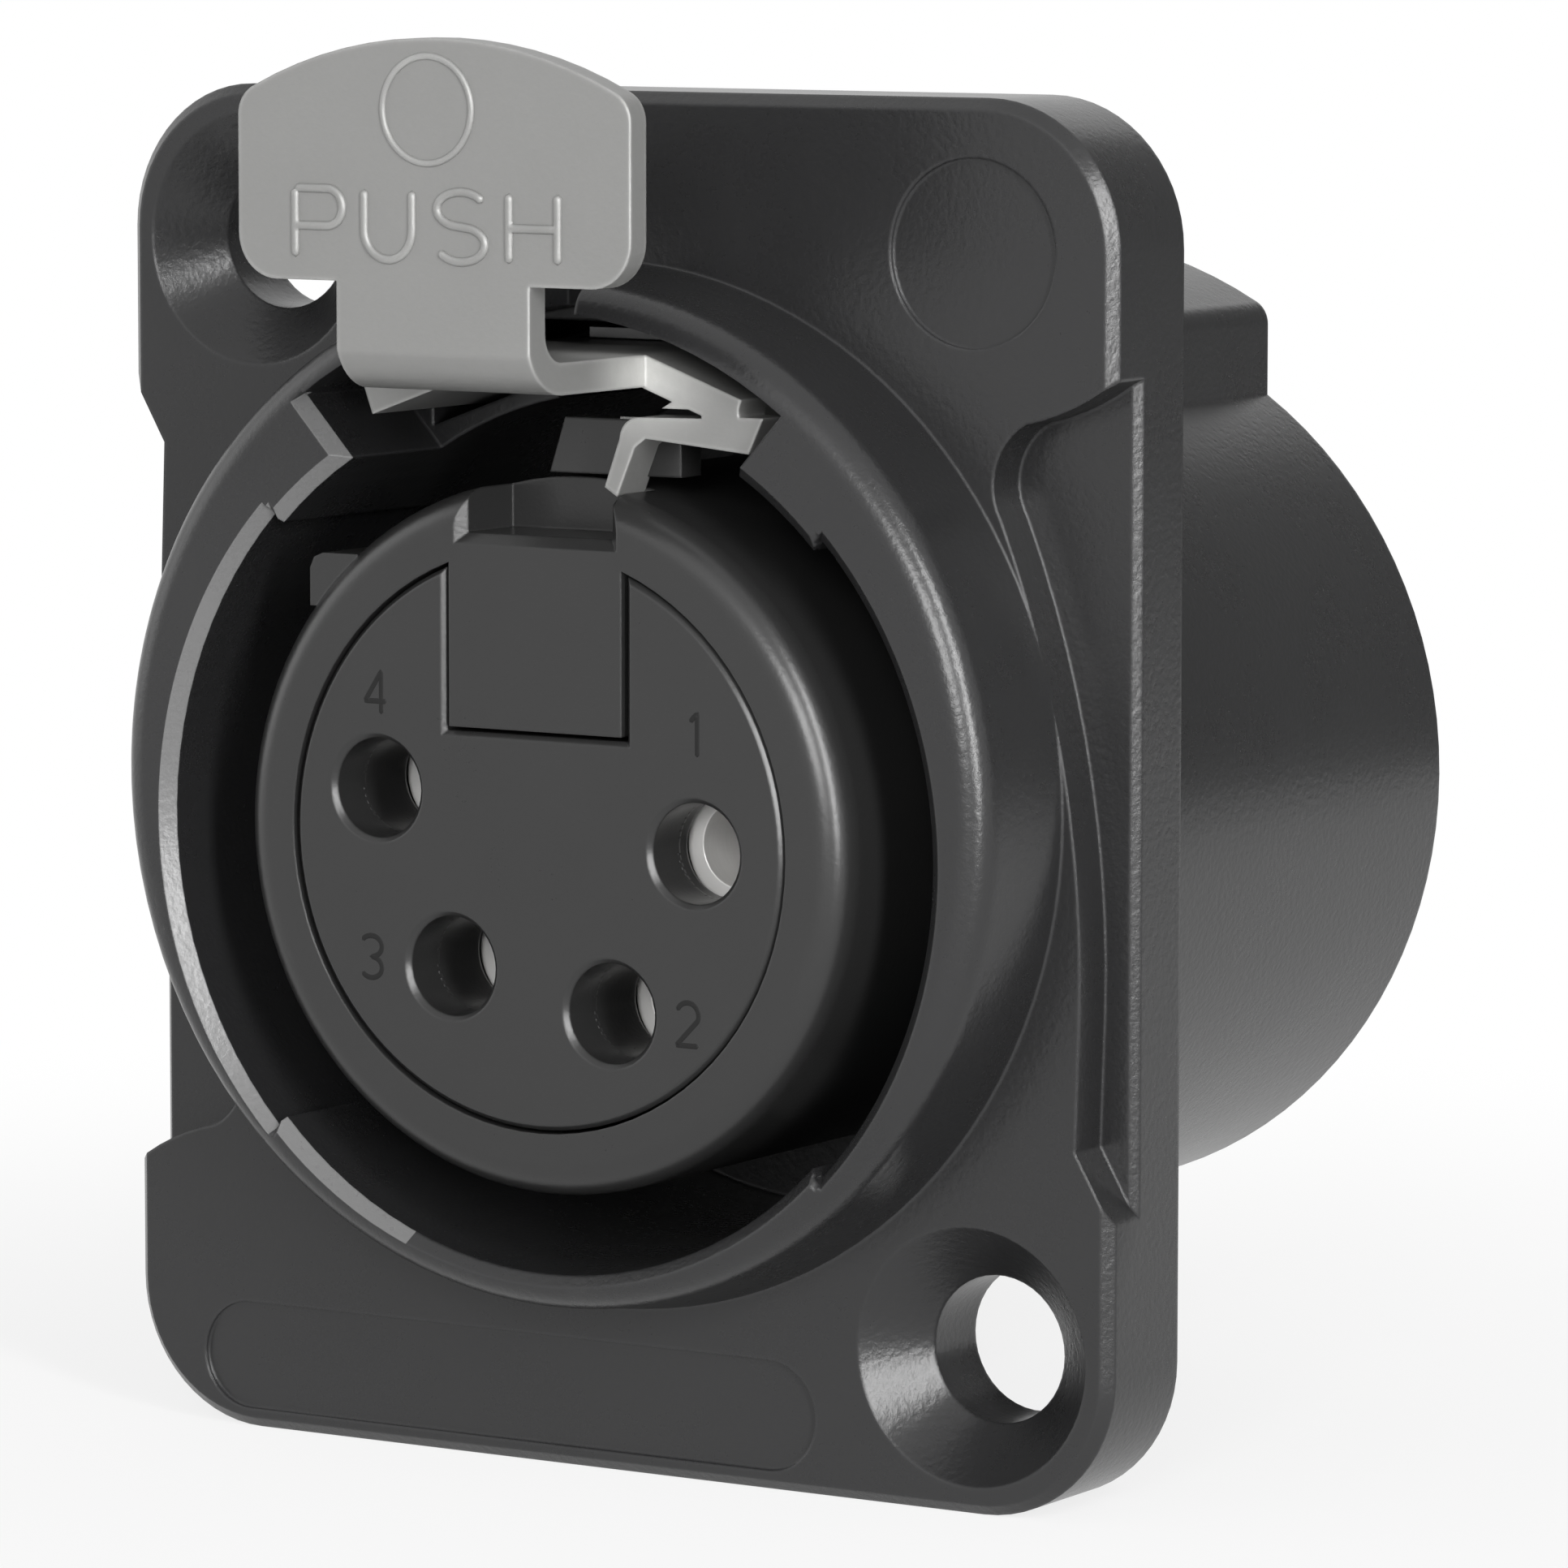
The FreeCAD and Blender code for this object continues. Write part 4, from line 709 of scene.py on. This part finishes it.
class SOCKET_OT_mouldings(bpy.types.Operator):
    """Finish the insert's sleeve, carrier and retaining ring, and the latch's catch, in plastic"""

    bl_idname = "socket.mouldings"
    bl_label = "Mouldings"

    # Latch slot in the top of the boss: half width, floor and depth, and the boss's own top
    SLOT_HALF = 1.9
    SLOT_FLOOR = 5.81
    SLOT_DEPTH = 2.0
    BOSS_TOP = 7.01
    # Polarising nub: its section, and its front and rear ends behind the insert's front
    NUB_OUTLINE = ((-5.0, 3.96), (-5.0, 5.16), (-5.94, 5.16), (-6.18, 5.06), (-6.29, 4.81),
                   (-6.29, 3.96))
    NUB_INSET = 0.4
    NUB_LENGTH = 11.6
    # Keyway of the contact disc
    DISC_RADIUS = 6.43
    KEYWAY_HALF = 2.38
    KEYWAY_FOOT = 1.40
    KEYWAY_DEPTH = 3.0
    # Catch on the lever's arm
    CATCH_OUTLINE = ((-0.64, 7.11), (2.80, 7.11), (2.80, 8.35), (-0.237, 8.35))
    CATCH_FRONT = -4.27
    CATCH_REAR = -3.45

    def execute(self, context):
        wanted = context.scene.socket_finishes
        plastic = finish("black_plastic", wanted.moulding_color, wanted.moulding_roughness,
                         wanted.moulding_grain, gloss=wanted.gloss, rise=0.06,
                         edge_round=0.7 * wanted.edge_round)
        dress("retaining_ring", plastic)
        self.make_boss(plastic, wanted.slot_bevel / MM)
        self.make_disc(plastic, wanted.disc_bevel / MM)
        catch = prism("latch_catch", self.CATCH_OUTLINE, self.CATCH_FRONT, self.CATCH_REAR)
        stand_for(catch, None, "latch", plastic)
        return {"FINISHED"}

    def make_boss(self, plastic, bevel):
        """The insert's sleeve with a square nub and a bevelled latch slot in its boss."""
        boss = copy_of("insert_sleeve", "insert_boss")
        nub = prism("nub", self.NUB_OUTLINE, INSERT_FRONT + self.NUB_INSET,
                    INSERT_FRONT + self.NUB_LENGTH)
        carve(boss, [nub], "UNION")
        carve(boss, self.notch("slot", self.SLOT_HALF, self.SLOT_FLOOR, self.BOSS_TOP + PAST,
                               self.SLOT_DEPTH, bevel))
        stand_for(boss, "insert_sleeve", "housing", plastic)

    def make_disc(self, plastic, bevel):
        """The contact carrier with a bevel round its disc and along its keyway."""
        disc = copy_of("contact_carrier", "insert_disc")
        rim = round_wedge("disc_rim", self.DISC_RADIUS, bevel, INSERT_FRONT, inward=True)
        carve(disc, [*self.notch("keyway", self.KEYWAY_HALF, self.KEYWAY_FOOT, self.DISC_RADIUS,
                                 self.KEYWAY_DEPTH, bevel), rim])
        stand_for(disc, "contact_carrier", "housing", plastic)

    def notch(self, name, half, low, high, depth, bevel):
        """Tools for a notch in the insert's front that is open above, and for its bevel."""
        left_foot, right_foot = (-half, low), (half, low)
        right_top, left_top = (half, high), (-half, high)
        room = prism(name, [left_foot, right_foot, right_top, left_top], INSERT_FRONT - PAST,
                     INSERT_FRONT + depth)
        edge = wedge(f"{name}_edge", [left_top, left_foot, right_foot, right_top],
                     [(-1, 0), (-1, -1), (1, -1), (1, 0)], bevel, INSERT_FRONT)
        return [room, edge]


class SOCKET_OT_contacts(bpy.types.Operator):
    """Set the four contacts at their depths behind straight pin entries, and plate them"""

    bl_idname = "socket.contacts"
    bl_label = "Contacts"

    # Place across and up from the socket's axis, and depth of the pin entry
    CONTACTS = {1: (4.15, -0.01, 1.5), 2: (1.95, -3.69, 2.8), 3: (-2.25, -2.93, 2.8),
                4: (-4.23, 0.94, 2.8)}
    LINER_START = 1.1
    LINER_OUTSIDE = 1.43
    ENTRY_RADIUS = 1.12
    # From the entry's end to the contact's front end
    SET_BACK = 0.4
    GRAIN = 0.12 * MM
    STRETCH = (0.15, 2.0, 0.15)

    def execute(self, context):
        wanted = context.scene.socket_finishes
        silver = finish("silver_plate", wanted.silver_color, wanted.silver_roughness, self.GRAIN,
                        metallic=wanted.silver_metal, tone_spread=0.25, stretch=self.STRETCH,
                        rise=0.08, edge_round=0.05 * MM)
        for number, (across, up, entry) in self.CONTACTS.items():
            centre = np.array([across, up + AXIS_HEIGHT])
            liner = self.make_liner(f"pin_entry_{number}", centre, entry)
            stand_for(liner, None, "housing", bpy.data.materials["black_plastic"])
            reach = self.LINER_OUTSIDE + 1
            square = centre + reach * np.array([(-1, -1), (1, -1), (1, 1), (-1, 1)])
            before = prism("before", square, INSERT_FRONT, INSERT_FRONT + entry + self.SET_BACK)
            tube = carve(copy_of(f"contact_{number}", f"contact_tube_{number}"), [before])
            stand_for(tube, f"contact_{number}", "housing", silver)
        return {"FINISHED"}

    def make_liner(self, name, centre, entry, count=48):
        """Tube that carries the pin entry's bore on to its depth: a rectangle turned about the
        entry's middle."""
        ray = arc((0, 0), (1, 1), 0, 360, count + 1)[:-1]
        profile = [(self.ENTRY_RADIUS, self.LINER_START), (self.LINER_OUTSIDE, self.LINER_START),
                   (self.LINER_OUTSIDE, entry), (self.ENTRY_RADIUS, entry)]
        rows = [np.stack([centre[0] + radius * ray[:, 0], np.full(count, INSERT_FRONT + depth),
                          centre[1] + radius * ray[:, 1]], 1) for radius, depth in profile]
        return solid(name, np.stack(rows, 1).reshape(-1, 3), skin(count, len(profile), True))


class SOCKET_OT_sheet_metal(bpy.types.Operator):
    """Finish the ground lug, the two springs and the lever's pins"""

    bl_idname = "socket.sheet_metal"
    bl_label = "Sheet metal"

    STEEL_NODES = ("ground_spring", "latch_pin_left", "latch_pin_right")
    TIN_ROUGHNESS = 0.33
    STEEL_ROUGHNESS = 0.38
    # The latch spring is held at this height, and the pressed lever flattens it to this share
    SPRING_SEAT = 10.4
    SPRING_KEEP = 0.4

    def execute(self, context):
        wanted = context.scene.socket_finishes
        tin = finish("tin_plate", wanted.tin_color, self.TIN_ROUGHNESS, 0.3 * MM, metallic=1.0,
                     tone_spread=0.3, patch=1.5 * MM, rise=0.08, edge_round=0.06 * MM)
        steel = finish("spring_steel", wanted.spring_color, self.STEEL_ROUGHNESS, 0.15 * MM,
                       metallic=1.0, tone_spread=0.3, stretch=(1.0, 0.1, 1.0), rise=0.06,
                       edge_round=0.04 * MM)
        dress("ground_lug", tin)
        for name in self.STEEL_NODES:
            dress(name, steel)
        leaf = copy_of("latch_spring", "latch_leaf")
        stand_for(leaf, "latch_spring", "housing", steel)
        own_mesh(leaf)
        return {"FINISHED"}


class SOCKET_OT_lever(bpy.types.Operator):
    """Finish the latch lever, with the spur beside its hook and room for its moulded catch"""

    bl_idname = "socket.lever"
    bl_label = "Latch lever"

    SPUR_OUTLINE = ((3.36, 8.95), (2.93, 8.70), (3.76, 8.70), (3.90, 8.66), (3.97, 8.52),
                    (4.10, 8.52), (4.10, 8.75))
    HOOK_FRONT = -5.25
    HOOK_REAR = -4.15
    # Where the arm meets its right wing: a highlight is painted on the plate there
    CREASE = (2.4, -5.3, 9.9)
    CREASE_REACH = 2.5
    # Room for the catch: two boxes beside and behind the hook's leg, each left, right and front
    CATCH_ROOMS = ((-0.7, 1.2, -4.3), (-0.7, 2.1, -4.15))
    CATCH_FOOT = 7.0
    CATCH_TOP = 8.44
    CATCH_REAR = -3.3
    GRAIN = 0.14 * MM
    # Painted highlight along all the plate's edges: its amount and colour
    EDGE_HIGHLIGHT_AMOUNT = 0.5
    EDGE_HIGHLIGHT_COLOR = (0.55, 0.55, 0.54)

    def execute(self, context):
        wanted = context.scene.socket_finishes
        satin = finish("satin_plate", wanted.lever_color, wanted.lever_roughness, self.GRAIN,
                       metallic=wanted.lever_metal, tone_spread=0.12, rise=0.08,
                       edge_round=0.1 * MM, highlighted=self.EDGE_HIGHLIGHT_AMOUNT,
                       edge_highlight_color=self.EDGE_HIGHLIGHT_COLOR)
        self.paint_crease_highlight(satin, wanted.crease_highlight_color)
        low, high = self.CATCH_FOOT, self.CATCH_TOP
        rooms = [prism("catch_room", [(left, low), (right, low), (right, high), (left, high)],
                       front, self.CATCH_REAR) for left, right, front in self.CATCH_ROOMS]
        lever = carve(copy_of("latch_lever", "push_lever"), rooms)
        spur = prism("spur", self.SPUR_OUTLINE, self.HOOK_FRONT, self.HOOK_REAR)
        carve(lever, [spur], "UNION")
        carve(lever, [self.tab_face(context.scene.socket_lettering.word_rise)])
        stand_for(lever, "latch_lever", "latch", satin)
        return {"FINISHED"}

    def tab_face(self, rise):
        """Tool that sets the tab's face back by the word's rise, so that the raised word ends in
        the lever's own box."""
        low, high = (np.array(corner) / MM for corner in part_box("latch_lever"))
        left, _, foot = low - PAST
        right, _, top = high + PAST
        return prism("tab_face", [(left, foot), (right, foot), (right, top), (left, top)],
                     low[1] - PAST, low[1] + rise / MM)

    def paint_crease_highlight(self, satin, color):
        """Paint a highlight round the crease: the plate's colour goes to the highlight's colour by
        the spot's mask."""
        tree = satin.node_tree
        plain = tree.nodes["Principled BSDF"].inputs["Base Color"].links[0].from_socket
        spot = use_group(tree, "rubbed_spot", Centre=Vector(self.CREASE) * MM,
                         Reach=self.CREASE_REACH * MM)
        mix_color(tree, spot.outputs["Mask"], plain, color)


class SOCKET_OT_push_word(bpy.types.Operator):
    """Raise the word and the bare ring on the push tab"""

    bl_idname = "socket.push_word"
    bl_label = "Word on the tab"

    def execute(self, context):
        sizes = context.scene.socket_lettering
        satin = bpy.data.materials["satin_plate"]
        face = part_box("latch_lever")[0].y + sizes.word_rise
        bead_piece("push_word", word_strokes(sizes.word_height, sizes.word_foot),
                   sizes.word_stroke, sizes.word_rise, face, satin, "latch")
        radius, share = sizes.ring_radius, sizes.ring_share
        ring = arc((sizes.ring_aside, sizes.ring_height), (radius, radius), 0, 360, 73)
        bead_piece("tab_ring", [(ring, True)], share * sizes.word_stroke,
                   share * sizes.word_rise, face, satin, "latch")
        return {"FINISHED"}


class SOCKET_OT_numbers(bpy.types.Operator):
    """Put the contact numbers on the insert's face"""

    bl_idname = "socket.numbers"
    bl_label = "Contact numbers"

    # Middles of the numbers, across and up from the flange's centre
    PLACES = {1: (4.24, 1.66), 2: (3.99, -4.70), 3: (-4.39, -3.80), 4: (-4.24, 2.14)}
    ROUGHNESS = 0.6
    GLOSS = 0.22

    def execute(self, context):
        sizes = context.scene.socket_lettering
        dark = finish("number_lines", context.scene.socket_finishes.number_color, self.ROUGHNESS,
                      0.08 * MM, gloss=self.GLOSS, edge_round=0.02 * MM)
        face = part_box("contact_carrier")[0].y
        strokes = []
        for number, paths in number_strokes(sizes.number_height).items():
            strokes += [path + np.array(self.PLACES[number]) * MM for path in paths]
        bead_piece("contact_numbers", strokes, sizes.number_stroke, sizes.number_rise, face, dark,
                   "housing")
        return {"FINISHED"}


def aim(thing, place, target):
    """Set an object at a place so that it looks at the target, with Z up."""
    thing.location = place
    thing.rotation_mode = "QUATERNION"
    thing.rotation_quaternion = (Vector(target) - Vector(place)).to_track_quat("-Z", "Y")


def around(target, azimuth, elevation, distance):
    """The point at that distance from the target: azimuth 0 is in front of the socket."""
    level = math.cos(elevation)
    back = Vector((math.sin(azimuth) * level, -math.cos(azimuth) * level, math.sin(elevation)))
    return Vector(target) + back * distance


def add_lamp(name, azimuth, elevation, distance, width, height, radiance):
    """An area lamp whose face has the given radiance: a lamp of P watts over an area A has
    P / (pi A)."""
    data = bpy.data.lights.new(name, "AREA")
    data.shape = "RECTANGLE"
    data.size, data.size_y = width, height
    data.energy = radiance * math.pi * width * height
    place = around((0, 0, 0), math.radians(azimuth), math.radians(elevation), distance)
    aim(linked(name, data), place, (0, 0, 0))


def stage_piece(name, points, faces, material):
    """A piece of the stage, which isn't part of the socket."""
    mesh = bpy.data.meshes.new(name)
    mesh.from_pydata(points, [], faces)
    mesh.materials.append(material)
    piece = linked(name, mesh)
    return piece


def matt(name, color, roughness):
    """A plain matt material."""
    material = bpy.data.materials.new(name)
    material.use_nodes = True
    shader = material.node_tree.nodes["Principled BSDF"]
    shader.inputs["Base Color"].default_value = (*color, 1)
    shader.inputs["Roughness"].default_value = roughness
    return material


def seen_white(tree):
    """1 for the rays that see the white background: the camera's, and those of gloss and glass."""
    path = tree.nodes.new("ShaderNodeLightPath")
    seen = math_node(tree, "MAXIMUM", path.outputs["Is Camera Ray"],
                     path.outputs["Is Glossy Ray"])
    return math_node(tree, "MAXIMUM", seen, path.outputs["Is Transmission Ray"])


class SOCKET_OT_stage(bpy.types.Operator):
    """Set up the floor, the world, the lamps and the camera"""

    bl_idname = "socket.stage"
    bl_label = "Stage"

    # Each lamp: angle round the socket from its front, angle up, distance, width and height
    LAMPS = {
        "strip": (55.5, 4, 0.30, 0.036, 0.42),
        "near": (24, 16, 0.34, 0.10, 0.12),
        "front": (-8, 38, 0.42, 0.30, 0.24),
        "left": (-72, 12, 0.36, 0.16, 0.30),
    }
    # The grey card: angles round the socket from its front, heights and distance
    CARD_SPAN = (100, 178)
    CARD_HEIGHTS = (-0.014, 0.15)
    CARD_REACH = 0.16
    CARD_COLUMNS = 13
    FLOOR_REACH = 3.0
    FLOOR_GAP = 0.01 * MM
    # Distance up to which the floor keeps its own shading, and where it has none left
    SHADE_FULL = 0.018
    SHADE_END = 0.07
    SENSOR_WIDTH = 36
    CLIP_START = 0.001

    def execute(self, context):
        wanted = context.scene.socket_stage
        scene = context.scene
        scene.view_settings.view_transform = "Standard"
        self.make_floor(wanted)
        self.make_world(scene, wanted)
        for name, place in self.LAMPS.items():
            add_lamp(f"{name}_lamp", *place, getattr(wanted, name))
        self.make_card(wanted)
        self.make_camera(scene, wanted)
        return {"FINISHED"}

    def make_camera(self, scene, wanted):
        """The camera that the photo was fitted with."""
        data = bpy.data.cameras.new("camera")
        data.lens = wanted.lens
        data.sensor_width = self.SENSOR_WIDTH
        data.clip_start = self.CLIP_START
        camera = linked("camera", data)
        place = around(wanted.target, wanted.azimuth, wanted.elevation, wanted.distance)
        aim(camera, place, wanted.target)
        roll = Matrix.Rotation(wanted.roll, 3, "Z").to_quaternion()
        camera.rotation_quaternion = camera.rotation_quaternion @ roll
        scene.camera = camera

    def make_card(self, wanted):
        """An upright card that the sides facing right mirror instead of the white room. The camera
        doesn't see it."""
        count = self.CARD_COLUMNS
        turn = np.linspace(*np.radians(self.CARD_SPAN), count)
        rows = [np.stack([self.CARD_REACH * np.sin(turn), -self.CARD_REACH * np.cos(turn),
                          np.full(count, height)], 1) for height in self.CARD_HEIGHTS]
        faces = [(k, k + 1, count + k + 1, count + k) for k in range(count - 1)]
        card = stage_piece("card", np.concatenate(rows).tolist(), faces,
                           matt("grey_card", wanted.card_color, 1.0))
        card.visible_camera = False
        card.visible_shadow = False

    def make_floor(self, wanted):
        """A square floor under the socket, at the lowest corner of its box. It is white to the
        camera and to gloss, but for a share of its own shading near the socket."""
        reach, low = self.FLOOR_REACH, CAD_BOX[0].z - self.FLOOR_GAP
        corners = [(-reach, -reach, low), (reach, -reach, low), (reach, reach, low),
                   (-reach, reach, low)]
        material = matt("pale_floor", wanted.floor_color, 0.9)
        stage_piece("floor", corners, [(0, 1, 2, 3)], material)
        tree = material.node_tree
        white = add_node(tree, "ShaderNodeEmission", Color=(1, 1, 1, 1), Strength=1.0)
        place = tree.nodes.new("ShaderNodeTexCoord").outputs["Object"]
        away = add_node(tree, "ShaderNodeVectorMath", operation="LENGTH")
        tree.links.new(place, away.inputs[0])
        fade = add_node(tree, "ShaderNodeMapRange", interpolation_type="SMOOTHSTEP",
                        From_Min=self.SHADE_FULL, From_Max=self.SHADE_END,
                        To_Min=1 - wanted.floor_share, To_Max=1.0)
        tree.links.new(away.outputs["Value"], fade.inputs["Value"])
        share = math_node(tree, "MULTIPLY", seen_white(tree), fade.outputs["Result"])
        mix = tree.nodes.new("ShaderNodeMixShader")
        tree.links.new(share, mix.inputs["Fac"])
        tree.links.new(tree.nodes["Principled BSDF"].outputs["BSDF"], mix.inputs[1])
        tree.links.new(white.outputs["Emission"], mix.inputs[2])
        tree.links.new(mix.outputs["Shader"], tree.nodes["Material Output"].inputs["Surface"])

    def make_world(self, scene, wanted):
        """An even world that the camera and gloss see as white."""
        world = bpy.data.worlds.new("studio")
        world.use_nodes = True
        tree = world.node_tree
        back = tree.nodes["Background"]
        back.inputs["Color"].default_value = (1, 1, 1, 1)
        strength = math_node(tree, "MULTIPLY_ADD", seen_white(tree), 1 - wanted.world,
                             wanted.world)
        tree.links.new(strength, back.inputs["Strength"])
        scene.world = world


OPERATORS = (
    SOCKET_OT_shader_groups,
    SOCKET_OT_casting,
    SOCKET_OT_mouldings,
    SOCKET_OT_contacts,
    SOCKET_OT_sheet_metal,
    SOCKET_OT_lever,
    SOCKET_OT_push_word,
    SOCKET_OT_numbers,
    SOCKET_OT_stage,
)


class SOCKET_PT_panel(bpy.types.Panel):
    """The socket's steps, in the 3D view's sidebar."""

    bl_idname = "SOCKET_PT_panel"
    bl_label = "Panel socket"
    bl_space_type = "VIEW_3D"
    bl_region_type = "UI"
    bl_category = "Socket"

    def draw(self, context):
        for operator in OPERATORS:
            self.layout.operator(operator.bl_idname)


SETTINGS = (("socket_finishes", SocketFinishes), ("socket_lettering", SocketLettering),
            ("socket_stage", SocketStage))
CLASSES = (SocketFinishes, SocketLettering, SocketStage, *OPERATORS, SOCKET_PT_panel)


def register():
    for item in CLASSES:
        bpy.utils.register_class(item)
    for name, settings in SETTINGS:
        setattr(bpy.types.Scene, name, bpy.props.PointerProperty(type=settings))


def unregister():
    for name, _ in SETTINGS:
        delattr(bpy.types.Scene, name)
    for item in reversed(CLASSES):
        bpy.utils.unregister_class(item)


def main():
    register()
    for operator in OPERATORS:
        group, call = operator.bl_idname.split(".")
        getattr(getattr(bpy.ops, group), call)()


if __name__ == "__main__":
    main()
